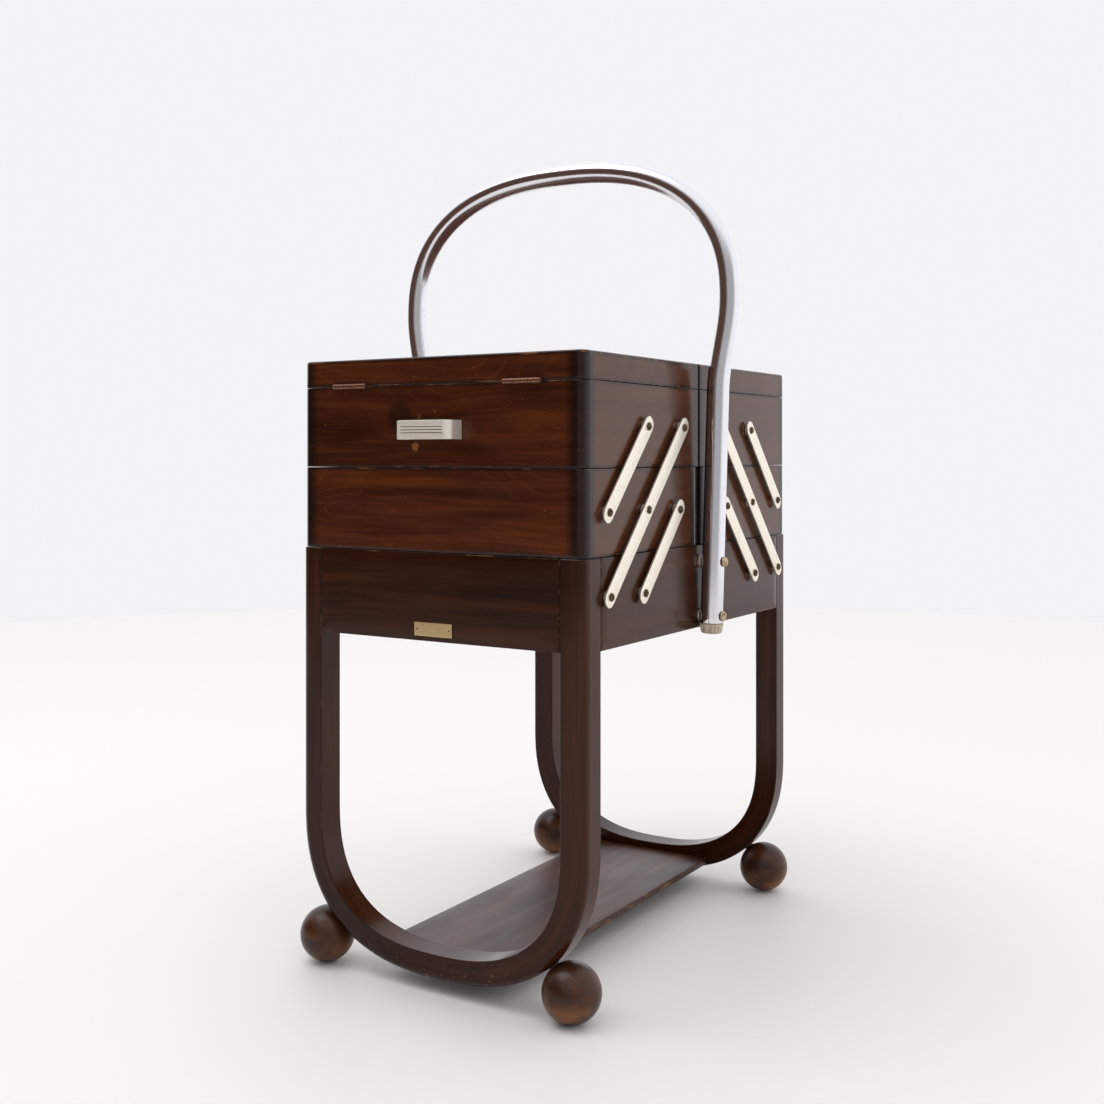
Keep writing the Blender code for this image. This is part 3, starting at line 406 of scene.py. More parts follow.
def slab(low, high, rows, origin, axes, grainAxis=0, seed=0.0, arcSteps=5, sideSteps=14):
    # a board from rounded rectangles stacked up: each row is (inset, height, radii, distance to an edge);
    # origin and axes carry (across, up, thickness) into place, and grainAxis says which way the grain runs
    loops, far = [], []
    for inset, height, radii, edge in rows:
        inner = (np.add(low, inset), np.subtract(high, inset))
        outline, corner = roundedOutline(*inner, radii, arcSteps, sideSteps)
        level = np.ones(len(outline))
        loops.append(np.column_stack([outline, height * level]))
        far.append(np.column_stack([edge * level, np.hypot(corner, inset), 0 * level]))
    local = np.array(loops)
    points = np.array(origin) + local @ np.array(axes, float)
    order = [grainAxis, 1 - grainAxis, 2]
    grain = wrapped(local[..., order], False) + (seed, 0.3 * seed, 0.0)
    return points, grain, np.array(far), False


def boardRows(thickness, edge, radius, deep=0.012):
    # rows of a board whose edges are rounded all round: cap, quarter round, side, quarter round, cap
    angles = np.linspace(0, math.pi / 2, 4)
    lower = [(edge * (1 - math.sin(a)), edge * (1 - math.cos(a))) for a in angles]
    upper = [(i, thickness - h) for i, h in reversed(lower)]
    caps = [(deep, height, [min(radius, edge)] * 4, deep) for height in (0.0, thickness)]
    sides = [(i, h, [max(radius - i, 0.0001)] * 4, 0.0) for i, h in lower + upper]
    return [caps[0], *sides, caps[1]]


def turned(profile, base, axis, steps=48):
    # a solid of revolution: profile rows are (radius, distance along the axis), turned about the axis
    profile = np.array(profile, float)
    axis = np.array(axis, float) / np.linalg.norm(axis)
    helper = np.array((0.0, 1.0, 0.0)) if abs(axis[1]) < 0.9 else np.array((1.0, 0.0, 0.0))
    first = np.cross(axis, helper)
    first /= np.linalg.norm(first)
    second = np.cross(axis, first)
    angles = np.linspace(0, 2 * math.pi, steps, endpoint=False)
    ring = np.cos(angles)[:, None] * first + np.sin(angles)[:, None] * second
    radii = np.maximum(profile[:, 0], 0.00002)
    points = np.array(base) + profile[:, 1, None, None] * axis + radii[:, None, None] * ring
    return plainGrid(points)


def pathNormals(path):
    # unit tangents and outward normals (z part, minus x part) of a path in XZ
    tangent = np.gradient(path, axis=0)
    tangent /= np.linalg.norm(tangent, axis=1, keepdims=True)
    return tangent, np.column_stack([tangent[:, 1], -tangent[:, 0]])


def evenly(path, step):
    # the path resampled at even steps along its length
    run = np.concatenate([[0.0], np.cumsum(np.linalg.norm(np.diff(path, axis=0), axis=1))])
    at = np.linspace(0.0, run[-1], int(run[-1] / step) + 1)
    return np.column_stack([np.interp(at, run, path[:, k]) for k in range(path.shape[1])]), at


trays = {
    "wall": 0.009, "outerRadius": 0.0095, "innerRadius": 0.003, "topMeetingRadius": 0.0025,
    "edge": 0.0005, "bottom": 0.0035, "bottomRise": 0.0008,
    "lidBoard": 0.006, "lidRounding": 0.0022, "halfGap": 0.0006, "boardOverlap": 0.001,
    "steps": (6, 26),  # of each corner's arc and of each side
}


def trayCorners(half, meeting):
    # low and high corner of a half in XY, and its four corner radii, square-cut where the halves meet
    face, middle = halves[half] * sizes["trayFace"], halves[half] * trays["halfGap"]
    low = (-sizes["trayEnd"], min(face, middle))
    high = (sizes["trayEnd"], max(face, middle))
    far = trays["outerRadius"]
    radii = [far, far, meeting, meeting] if half == "front" else [meeting, meeting, far, far]
    return low, high, np.array(radii)


def trayWalls(half, level, meeting, seed):
    # walls bent round from one board: the wall's own section, a rounded rectangle of (inset, height),
    # is carried round the outline, between its outer and its inner line
    low, high, radii = trayCorners(half, meeting)
    under = span(f"{half}_{level}_tray_bottom")[0][2]
    rim = span(f"{half}_{level}_tray")[1][2]
    outer, corner = roundedOutline(low, high, radii, *trays["steps"])
    wall = trays["wall"]
    inside = (np.add(low, wall), np.subtract(high, wall))
    inner, _ = roundedOutline(*inside, [trays["innerRadius"]] * 4, *trays["steps"])
    section, edge = roundedOutline((0, under), (wall, rim), [trays["edge"]] * 4, 3, 7)
    share = (section[:, 0] / wall)[None, :, None]
    flat = outer[:, None] * (1 - share) + inner[:, None] * share
    height = np.broadcast_to(section[None, :, 1:], (*flat.shape[:2], 1))
    points = np.concatenate([flat, height], axis=-1)
    run = np.broadcast_to(along(outer)[:, None, None], (len(outer) + 1, len(section) + 1, 1))
    closing = wrapped(np.broadcast_to(section[None], (*flat.shape[:2], 2)), True)
    grain = np.concatenate([run + seed, closing[..., 1:] + 0.3 * seed, closing[..., :1]], axis=-1)
    edges = np.zeros(points.shape)
    edges[..., 0] = edge[None]
    edges[..., 1] = corner[:, None]
    makePiece(f"{half}_{level}_tray_walls", [(points, grain, edges, True)], "trayWood",
              f"{half}_{level}_tray_body", [f"{half}_{level}_tray"])
    held = wall - trays["boardOverlap"]
    rows = boardRows(trays["bottom"], 0.0003, trays["innerRadius"])
    board = slab(np.add(low, held), np.subtract(high, held), rows, (0, 0, under + trays["bottomRise"]),
                 np.eye(3), 0, seed + 0.7)
    makePiece(f"{half}_{level}_tray_board", [board], "plywood", f"{half}_{level}_tray_body",
              [f"{half}_{level}_tray_bottom"])


def lid(half, seed):
    # a shallow tray upside down: outlines from its ceiling down its inside, round the rim, up and over the
    # top; quarter rounds are (1 - cos) inwards and (1 - sin) upwards
    low, high, radii = trayCorners(half, trays["topMeetingRadius"])
    wall, edge, over = trays["wall"], trays["edge"], trays["lidRounding"]
    under, top = sizes["lidUnder"], sizes["lidTop"]
    ceiling = top - trays["lidBoard"]
    inner = [trays["innerRadius"]] * 4
    turn = np.linspace(0, math.pi / 2, 4)
    near, deep, least = 0.008, 0.030, 0.0005  # rows this far from an edge, well inside, and least radius
    rows = [(deep, ceiling, inner, deep), (wall + 0.001, ceiling, inner, 0.010),
            (wall, ceiling - 0.001, inner, 0.010), (wall, under + near, inner, near)]
    rows += [(wall - edge * (1 - math.cos(a)), under + edge * (1 - math.sin(a)), inner, 0.0) for a in turn]
    rows += [(edge * (1 - math.sin(a)), under + edge * (1 - math.cos(a)), np.maximum(radii - edge, least),
              0.0) for a in turn]
    rows += [(0.0, under + near, radii, near), (0.0, top - near, radii, near)]
    turn = np.linspace(0, math.pi / 2, 6)
    rows += [(over * (1 - math.cos(a)), top - over * (1 - math.sin(a)),
              np.maximum(radii - over * (1 - math.cos(a)), least), 0.0) for a in turn]
    rows += [(0.010, top, inner, near), (deep, top, inner, deep)]
    made = slab(low, high, rows, (0, 0, 0), np.eye(3), 0, seed, *trays["steps"])
    makePiece(f"{half}_lid_shell", [made], "trayWood", f"{half}_lid_body", [f"{half}_lid"])


for number, half in enumerate(halves):
    trayWalls(half, "mid", trays["outerRadius"], 1.3 + 5 * number)
    trayWalls(half, "top", trays["topMeetingRadius"], 2.9 + 5 * number)
    lid(half, 4.1 + 5 * number)
print("trays and lids ready")


cabinet = {
    "panel": 0.012, "edge": 0.0004,
    "legThickness": 0.025, "legDepth": 0.028, "legRadius": 0.0095, "legEdge": 0.0010,
    "base": 0.0115, "bendStart": 0.153, "squareness": 2.5, "step": 0.003, "endEdge": 0.0006,
    "legSteps": (8, 9),  # of each corner's arc and of each side
}


def flatBoard(node, thicknessAxis, grainAxis, seed, finish="cabinetWood", edge=None):
    # a board that fills its node's box, with softened edges; grainAxis is the world axis its grain follows
    low, high = span(node)
    axes = [a for a in range(3) if a != thicknessAxis]
    edge = edge or cabinet["edge"]
    rows = boardRows(high[thicknessAxis] - low[thicknessAxis], edge, edge)
    origin = np.zeros(3)
    origin[thicknessAxis] = low[thicknessAxis]
    basis = np.eye(3)[[*axes, thicknessAxis]]
    made = slab(low[axes], high[axes], rows, origin, basis, axes.index(grainAxis), seed)
    makePiece(node + "_board", [made], finish, "stand", [node])


def lowerBox():
    # two panels along the grain of each pair of sides, the shelf and the bottom
    for number, half in enumerate(halves):
        flatBoard(f"box_{half}_panel", 1, 0, 0.4 + number)
    for number, end in enumerate(ends):
        flatBoard(f"box_{end}_panel", 0, 1, 2.6 + number)
    flatBoard("shelf", 2, 1, 5.2, "shelfWood", edge=0.0010)
    flatBottom()


def flatBottom():
    # the bottom board inside the panels, with its corners cut away round the legs
    low, high = span("box_bottom")
    inset = cabinet["legThickness"] - cabinet["panel"]
    x0, y0 = high[0], high[1]
    x1, y1 = x0 - inset, y0 - (cabinet["legDepth"] - cabinet["panel"])
    corner = np.array([(x0, y1), (x1, y1), (x1, y0)])
    back = np.concatenate([corner, (corner * (-1, 1))[::-1]])
    outline = np.concatenate([back, -back])
    points = np.stack([np.column_stack([outline, np.full(len(outline), z)]) for z in (low[2], high[2])])
    makePiece("box_bottom_board", [plainGrid(points)], "plywood", "stand", ["box_bottom"])


def framePath():
    # centre line of a leg frame in XZ: straight legs into a superellipse |x/a|^n + |z/b|^n = 1
    across = sizes["boxEnd"] - cabinet["legThickness"] / 2
    drop = cabinet["bendStart"] - cabinet["base"] - cabinet["legThickness"] / 2
    power = 2 / cabinet["squareness"]
    angle = np.linspace(0, math.pi, 1201)
    x = -across * np.sign(np.cos(angle)) * np.abs(np.cos(angle)) ** power
    z = cabinet["bendStart"] - drop * np.clip(np.sin(angle), 0, 1) ** power
    rim = sizes["boxRim"]
    return np.concatenate([[(-across, rim)], np.column_stack([x, z]), [(across, rim)]])


def legFrame(half, seed):
    # the bar's section, a rectangle with one large radius on its outward edge, carried along the bent path
    way, end = halves[half], cabinet["endEdge"]
    path, run = evenly(framePath(), cabinet["step"])
    _, outward = pathNormals(path)
    high = np.array((cabinet["legThickness"], cabinet["legDepth"])) / 2
    radii = np.full(4, cabinet["legEdge"])
    radii[1 if way < 0 else 2] = cabinet["legRadius"]
    middle = way * (sizes["boxFace"] - cabinet["legDepth"] / 2)
    section, _ = roundedOutline(-high, high, radii, *cabinet["legSteps"])
    narrow, _ = roundedOutline(end - high, high - end, np.maximum(radii - end, end / 2), *cabinet["legSteps"])
    sections = np.broadcast_to(section, (len(path), *section.shape)).copy()
    sections[[0, -1]] = narrow
    run[1], run[-2] = end, run[-1] - end
    path[1], path[-2] = path[0] - (0, end), path[-1] - (0, end)
    flat = path[:, None] + sections[..., :1] * outward[:, None]
    points = np.concatenate([flat[..., :1], middle + sections[..., 1:], flat[..., 1:]], axis=-1)
    runs = np.broadcast_to(run[:, None, None], (*sections.shape[:2], 1))
    grain = np.concatenate([runs, sections[..., 1:], sections[..., :1]], axis=-1) + (seed, seed, 0.0)
    edges = np.full(points.shape, farAway)
    sharp = [(a, b) for a in (-1, 1) for b in (-1, 1) if (a, b) != (1, way)]
    edges[..., 0] = np.min([np.linalg.norm(section - high * corner, axis=1) for corner in sharp], axis=0)
    grid = (points, wrapped(grain, False), edges, False)
    makePiece(half + "_bent_leg_frame", [grid], "cabinetWood", "stand", [half + "_leg_frame"])


lowerBox()
for number, half in enumerate(halves):
    legFrame(half, 7.7 + number)
print("lower box, shelf and leg frames ready")


balls = {"diameter": 0.0529, "seat": 0.053, "peg": 0.0098, "pegIn": 0.012, "pegEdge": 0.001, "steps": 72}


def ballPlace():
    # middle of the right ball in XZ and its way into the frame: where the frame's line, moved outwards by
    # half the bar and the ball's radius, is a radius above the floor
    radius = balls["seat"] / 2
    path, _ = evenly(framePath(), 0.0005)
    _, outward = pathNormals(path)
    right = path[:, 0] > 0.02
    still = path[right]
    moved = still + outward[right] * (cabinet["legThickness"] / 2 + sizes["gap"] + radius)
    spot = np.argmax(moved[:, 1] > radius)
    way = still[spot] - moved[spot]
    return moved[spot], way / np.linalg.norm(way)


def ballFeet():
    # a ball's profile is (r sin, r cos) from its far pole to the peg, whose end is a little narrower
    place, way = ballPlace()
    radius, peg, edge = balls["diameter"] / 2, balls["peg"] / 2, balls["pegEdge"]
    tip = radius + balls["pegIn"]
    angle = np.linspace(math.pi, math.asin(peg / radius), 60)
    profile = np.column_stack([radius * np.sin(angle), radius * np.cos(angle)])
    profile = np.vstack([profile, [(peg, tip - edge), (peg - edge, tip)]])
    for half, front in halves.items():
        for end, side in ends.items():
            base = (side * place[0], front * (sizes["boxFace"] - cabinet["legDepth"] / 2), place[1])
            axis = (side * way[0], 0.0, way[1])
            points, grain, edges, closed = turned(profile, base, axis, balls["steps"])
            grid = (points, grain + 1.7 * side + front, edges, closed)  # so that no two balls look alike
            makePiece(f"turned_ball_{half}_{end}", [grid], "ballWood", "stand",
                      [f"ball_foot_{half}_{end}"], 50)


ballFeet()
print("ball feet ready")


links = {
    "width": 0.0155, "thickness": 0.0022, "tip": 0.010, "edge": 0.0004, "shoulder": 0.1, "bluntness": 0.8,
    "washer": 0.011, "washerThickness": 0.003, "washerEdge": 0.0004, "stud": 0.004, "studDepth": 0.0055,
    "head": 0.0076, "headHeight": 0.0026, "slot": 0.0012, "slotDepth": 0.0012, "skirt": 0.0006,
}


def linkOutline(length, inset):
    # a bar along the second axis from its lower pivot at 0: straight sides, and ends whose half width
    # falls as cos^bluntness while they reach out as sin
    half = links["width"] / 2 - inset
    shoulder = links["shoulder"] * links["tip"]
    angle = np.linspace(0, math.pi / 2, 13)
    x = half * np.cos(angle) ** links["bluntness"]
    y = shoulder + (links["tip"] - inset - shoulder) * np.sin(angle)
    upper = np.column_stack([np.concatenate([x, -x[-2::-1]]), length + np.concatenate([y, y[-2::-1]])])
    lower = np.column_stack([np.concatenate([-x, x[-2::-1]]), -np.concatenate([y, y[-2::-1]])])
    return np.concatenate([upper, lower])


def slottedHead(base, axis, look, turn, skirt=0.0):
    # a domed head with a sawn slot: height * sqrt(1 - (r/R)^2) over a polar grid, lowered inside the slot
    # by its depth over a soft step 1 / (1 + exp(distance past the slot's side)); look is the head's diameter
    # and height and the slot's width and depth
    diameter, height, slot, slotDepth = look
    axis = np.array(axis, float)
    up = np.array((0.0, math.sin(turn), math.cos(turn)))
    sideways = np.cross(axis, up)
    sideways /= np.linalg.norm(sideways)
    up = np.cross(sideways, axis)
    share = np.sqrt(np.linspace(0.0, 1.0, 30))
    angles = np.linspace(0, 2 * math.pi, 64, endpoint=False)
    rim = np.append(share, 1.0) * diameter / 2 + 0.00002
    rise = np.append(height * np.sqrt(1 - (share * 0.985) ** 2), -skirt)
    x = rim[:, None] * np.cos(angles)
    y = rim[:, None] * np.sin(angles)
    inside = 1 / (1 + np.exp((np.abs(x) - slot / 2) / (0.05 * slot)))
    inside[-1] = 0.0
    z = np.maximum(rise[:, None] - slotDepth * inside, -skirt)
    return plainGrid(np.array(base) + x[..., None] * sideways + y[..., None] * up + z[..., None] * axis)


def linkSet():
    # the long link runs from the lower box to the top tray, the two short ones beside it to one tray each
    for half in halves:
        foot, knee, head = (pivots[f"{half}_{name}"] for name in ("fold", "mid_level", "top_level"))
        upper, lower = pivots[half + "_upper_link_turn"], pivots[half + "_lower_link_turn"]
        bars = {"long_link": (foot, knee, head), "upper_link": (upper, head + upper - knee),
                "lower_link": (lower, knee + lower - foot)}
        for name, stops in bars.items():
            for end, side in ends.items():
                oneLink(half, name, stops, end, side)


def oneLink(half, name, stops, end, side):
    # a punched strip with softened edges, washers behind it and a slotted screw head on each pivot
    thickness, edge = links["thickness"], links["edge"]
    face = sizes["trayEnd"] if name == "upper_link" else sizes["boxEnd"]
    start = side * (face + sizes["gap"] + links["washerThickness"])
    length = np.linalg.norm(stops[-1] - stops[0])
    direction = (stops[-1] - stops[0]) / length
    axes = np.array([(0, -direction[1], direction[0]), (0, *direction), (side, 0, 0)], float)
    turn = np.linspace(0, math.pi / 2, 4)
    rows = [(edge * (1 - math.sin(a)), edge * (1 - math.cos(a))) for a in turn]
    rows += [(inset, thickness - height) for inset, height in reversed(rows)]
    loops = []
    for inset, height in rows:
        outline = linkOutline(length, inset)
        loops.append(np.column_stack([outline, np.full(len(outline), height)]))
    bar = plainGrid(np.array((start, *stops[0])) + np.array(loops) @ axes)
    body = f"{half}_{name}s"
    makePiece(f"{half}_{name}_{end}_strip", [bar], "satinNickelStrip", body,
              [f"{half}_{name}_{end}"])
    radius, stud, deep, rim = links["washer"] / 2, links["stud"] / 2, links["studDepth"], links["washerEdge"]
    look = (links["head"], links["headHeight"], links["slot"], links["slotDepth"])
    washers, heads = [], []
    for number, stop in enumerate(stops):
        wood = sizes["boxEnd"] if name != "upper_link" and number == 0 else sizes["trayEnd"]
        back = side * (wood + sizes["gap"])
        tall = abs(start - back)
        profile = [(stud - 0.0005, -deep), (stud, 0.0005 - deep), (stud, 0.0), (radius - rim, 0.0),
                   (radius, rim), (radius, tall - rim), (radius - rim, tall), (stud, tall),
                   (stud, tall + 0.001)]
        washers.append(turned(profile, (back, *stop), (side, 0, 0), 40))
        slotTurn = 0.5 + 1.9 * number + length * 7 + side  # each slot stands at its own angle
        outer = (start + side * thickness, *stop)
        heads.append(slottedHead(outer, (side, 0, 0), look, slotTurn, links["skirt"]))
    makePiece(f"{half}_{name}_{end}_washers", washers, "satinNickelStrip", body)
    makePiece(f"{half}_{name}_{end}_pivot_screws", heads, "brownedSteelScrews", body, sharp=50)


linkSet()
print("links ready")


hinge = {
    "length": 0.040, "spacing": 0.195, "knuckle": 0.0052, "bore": 0.0028, "knuckleEdge": 0.0003,
    "pin": 0.0024, "leaf": 0.0009, "spread": 0.0002, "reach": 0.0085, "edge": 0.0002, "wrap": 0.0012,
    "knuckleGap": 0.00015,
}


def knuckle(x0, x1, place):
    # a rolled tube: its wall's section, with softened edges, turned about the pin
    outer, inner, edge = hinge["knuckle"] / 2, hinge["bore"] / 2, hinge["knuckleEdge"]
    profile = np.array([(inner, x0 + edge), (inner + edge, x0), (outer - edge, x0), (outer, x0 + edge),
                        (outer, x1 - edge), (outer - edge, x1), (inner + edge, x1), (inner, x1 - edge)])
    return tubeWall(profile[:, 1:], profile[:, :1], place, 40)


def tubeWall(along, radii, place, steps):
    # a closed section of (distance along X, radius) turned about a line along X through (y, z)
    angles = np.linspace(0, 2 * math.pi, steps, endpoint=False)
    points = np.stack([np.broadcast_to(along, (len(along), steps)), place[0] + radii * np.cos(angles),
                       place[1] + radii * np.sin(angles)], axis=-1)
    return plainGrid(points, True)


def hingeSet(half):
    # two hinges in the seam under the lid: each leaf is a plate with its knuckles and the straps to them
    way, axis = halves[half], pivots[half + "_lid_turn"]
    length, gap, edge = hinge["length"], hinge["knuckleGap"], hinge["edge"]
    third = length / 3
    inner = way * (sizes["trayFace"] - hinge["reach"])
    for end, side in ends.items():
        x = side * hinge["spacing"] / 2
        left = x - length / 2
        name = f"{half}_hinge_{end}"
        spans = {"tray": [(left, left + third), (left + 2 * third, left + length)],
                 "lid": [(left + third, left + 2 * third)]}
        for leaf, upwards, body in (("tray", -1, f"{half}_top_tray_body"), ("lid", 1, f"{half}_lid_body")):
            grids = [knuckle(a + gap, b - gap, axis) for a, b in spans[leaf]]
            low, high = sorted(axis[1] + upwards * (hinge["spread"] + step) for step in (0, hinge["leaf"]))
            rows = boardRows(high - low, edge, edge, 3 * edge)
            plates = [(left, left + length, way * (sizes["trayFace"] - edge))]
            plates += [(a + edge, b - edge, way * (abs(axis[0]) - hinge["wrap"])) for a, b in spans[leaf]]
            for a, b, outer in plates:
                y0, y1 = sorted((inner, outer))
                grids.append(slab((a, y0), (b, y1), rows, (0, 0, low), np.eye(3), 0, 0.0, 2, 3))
            makePiece(f"{name}_{leaf}_plate", grids, "copperedSteelHinges", body,
                      [f"{name}_{leaf}_leaf"])
        radius, reach, bevel = hinge["pin"] / 2, length / 2 + hinge["edge"], 0.0004
        profile = [(radius * 0.6, -reach), (radius, bevel - reach), (radius, reach - bevel),
                   (radius * 0.6, reach)]
        pin = turned(profile, (x, *axis), (1, 0, 0), 24)
        makePiece(name + "_pin_wire", [pin], "copperedSteelHinges", f"{half}_top_tray_body",
                  [name + "_pin"])


for half in halves:
    hingeSet(half)
print("hinges ready")


pull = {
    "length": 0.062, "height": 0.0173, "standoff": 0.020, "thickness": 0.0025, "radius": 0.0075,
    "rise": 0.0342, "edge": 0.0005, "grooves": (-0.0028, 0.0, 0.0028), "grooveWidth": 0.0012,
    "grooveDepth": 0.0005, "grooveStop": 0.0235, "grooveFade": 0.001, "step": 0.0006, "faceSteps": 72,
}
plate = {"edge": 0.0003, "radius": 0.0006, "deep": 0.0010, "pinInset": 0.0032, "pin": 0.0022, "pinRise": 0.35,
         "pinSunk": 0.00025, "pinFoot": 0.0004}


def pullSection():
    # the bar's section as (across, depth), with quarter rounds at its corners: many points over the outer
    # face, which is grooved, and then the rest of the way round
    half, thick, edge, count = pull["height"] / 2, pull["thickness"] / 2, pull["edge"], pull["faceSteps"]
    face = np.column_stack([np.linspace(edge - half, half - edge, count), np.full(count, thick)])
    angle = np.linspace(0, math.pi / 2, 4)
    arc = np.column_stack([np.sin(angle), np.cos(angle)]) * edge  # from straight out to sideways
    arc = arc + (half - edge, thick - edge)
    turnedArc = (arc * (1, -1))[::-1]
    return np.concatenate([face, arc[1:], turnedArc, (arc * (-1, -1)), (arc * (-1, 1))[::-1][:-1]])


def handlePull(half):
    # a bow of flat bar: its section, grooved along its outer face, carried out, along and back
    way, gap = halves[half], sizes["gap"]
    thick = pull["thickness"]
    middle = pull["length"] / 2 - thick / 2
    face = pull["standoff"] - thick / 2
    bend = pull["radius"] - thick / 2
    angle = np.linspace(0, math.pi / 2, 16)
    left = np.column_stack([bend - middle - bend * np.cos(angle), face - bend + bend * np.sin(angle)])
    path = np.concatenate([[(-middle, gap)], left, left[::-1] * (-1, 1), [(middle, gap)]])
    path, _ = evenly(path, pull["step"])
    _, inward = pathNormals(path)
    across, depth = pullSection().T
    onFace = np.arange(len(across)) < pull["faceSteps"]
    stop = np.clip((pull["grooveStop"] - np.abs(path[:, 0])) / pull["grooveFade"] + 0.5, 0, 1)
    stop *= path[:, 1] > face - pull["edge"]
    # a groove's depth falls off from its middle as exp of minus the fourth power of the distance
    narrow = pull["grooveWidth"] / 2.6
    groove = sum(np.exp(-((across - middleLine) / narrow) ** 4) for middleLine in pull["grooves"]) * onFace
    sunk = pull["grooveDepth"] * groove[None] * stop[:, None]
    offset = depth[None] - sunk
    flat = path[:, None] - offset[..., None] * inward[:, None]
    z = np.broadcast_to(sizes["topUnder"] + pull["rise"] + across[None], offset.shape)
    points = np.stack([flat[..., 0], way * (sizes["trayFace"] + flat[..., 1]), z], axis=-1)
    edges = np.zeros(points.shape)
    edges[..., 2] = sunk / pull["grooveDepth"]
    grid = (points, wrapped(points, False), edges, False)
    makePiece(half + "_grooved_pull", [grid], "satinAluminiumPull", f"{half}_top_tray_body",
              [half + "_pull"], 30)


def frontPlate():
    # a blank plate with two round-headed pins, each a flat dome of radius * cos and a share of radius * sin
    low, high = span("front_plate")
    rows = boardRows(high[1] - low[1], plate["edge"], plate["radius"], plate["deep"])
    face = slab(low[[0, 2]], high[[0, 2]], rows, (0, high[1], 0), [(1, 0, 0), (0, 0, 1), (0, -1, 0)],
                0, 0.0, 4, 4)
    makePiece("blank_plate", [face], "rolledBrassPlate", "stand", ["front_plate"])
    radius = plate["pin"] / 2
    angle = np.linspace(0, math.pi / 2, 8)
    dome = np.column_stack([radius * np.cos(angle), plate["pinRise"] * radius * np.sin(angle)])
    profile = [(radius, -plate["pinFoot"]), *dome]
    pins = []
    for side in ends.values():
        base = (side * (high[0] - plate["pinInset"]), low[1] + plate["pinSunk"], (low[2] + high[2]) / 2)
        pins.append(turned(profile, base, (0, -1, 0), 24))
    makePiece("plate_pins", pins, "brownedSteelScrews", "stand")


for half in halves:
    handlePull(half)
frontPlate()
print("pulls and plate ready")


handle = {
    "diameter": 0.022, "wall": 0.0015, "standoff": 0.0018, "spread": 0.0070, "endRise": 0.005,
    "spring": 0.064, "squareness": 2.4, "step": 0.0025, "edge": 0.0004,
    "capLength": 0.010, "capRim": 0.0008, "capTaper": 0.0012, "plug": 0.0035,
    "screwRises": {"lower": 0.012, "upper": 0.0655}, "slotTurns": {"lower": 2.3, "upper": 0.9},
    "screw": 0.005, "screwDepth": 0.0085, "spacer": 0.0135, "spacerEdge": 0.0003,
    "screwHead": (0.0100, 0.0042, 0.0014, 0.0018),  # diameter, height, slot width and slot depth
}


def tubeLine():
    # right half of the centre line in XZ: straight past the box, a cubic out to the widest place,
    # then a quarter of a superellipse to the top
    radius = handle["diameter"] / 2
    high = span("handle_tube")[1]
    foot = np.array((sizes["boxEnd"] + handle["standoff"] + radius, sizes["boxUnder"] + handle["endRise"]))
    passing = np.array((foot[0] + handle["spread"], span("front_top_tray")[1][2]))
    spring = np.array((high[0] - radius, sizes["lidTop"] + handle["spring"]))
    top = high[2] - radius
    slope = (passing[0] - foot[0]) / (passing[1] - foot[1])
    rise = spring[1] - passing[1]
    t = np.linspace(0, 1, 60)[1:]
    bend = (2 * t**3 - 3 * t**2 + 1) * passing[0] + (t**3 - 2 * t**2 + t) * slope * rise
    bend = np.column_stack([bend + (3 * t**2 - 2 * t**3) * spring[0], passing[1] + rise * t])
    angle = np.linspace(0, math.pi / 2, 400)[1:]
    power = 2 / handle["squareness"]
    arch = np.column_stack([spring[0] * np.clip(np.cos(angle), 0, 1) ** power,
                            spring[1] + (top - spring[1]) * np.sin(angle) ** power])
    arch[-1, 0] = 0.0
    return np.concatenate([[foot, passing], bend, arch]), foot, passing


def handleTube():
    # a round ring carried along the centre line outside and back inside the wall, with softened ends
    right, _, _ = tubeLine()
    path, _ = evenly(np.concatenate([right, (right * (-1, 1))[-2::-1]]), handle["step"])
    tangent, outward = pathNormals(path)
    radius, inner, edge = handle["diameter"] / 2, handle["diameter"] / 2 - handle["wall"], handle["edge"]
    angles = np.linspace(0, 2 * math.pi, 64, endpoint=False)
    radii = np.concatenate([np.full(len(path), radius), np.full(len(path), inner)])
    radii[[0, len(path) - 1]] = radius - edge
    radii[[len(path), -1]] = inner + edge / 2
    path[1], path[-2] = path[0] + edge * tangent[0], path[-1] - edge * tangent[-1]
    both = np.concatenate([path, path[::-1]])
    ways = np.concatenate([outward, outward[::-1]])
    flat = both[:, None] + (radii[:, None] * np.cos(angles))[..., None] * ways[:, None]
    points = np.stack([flat[..., 0], radii[:, None] * np.sin(angles), flat[..., 1]], axis=-1)
    grid = plainGrid(points, True)
    makePiece("bent_handle_tube", [grid], "polishedChromeTube", "stand", ["handle_tube"], 50)


def tubeX(height, foot, passing):
    # where the straight stretch of the centre line is at a height: a share of the way from foot to passing
    return foot[0] + (passing[0] - foot[0]) * (height - foot[1]) / (passing[1] - foot[1])


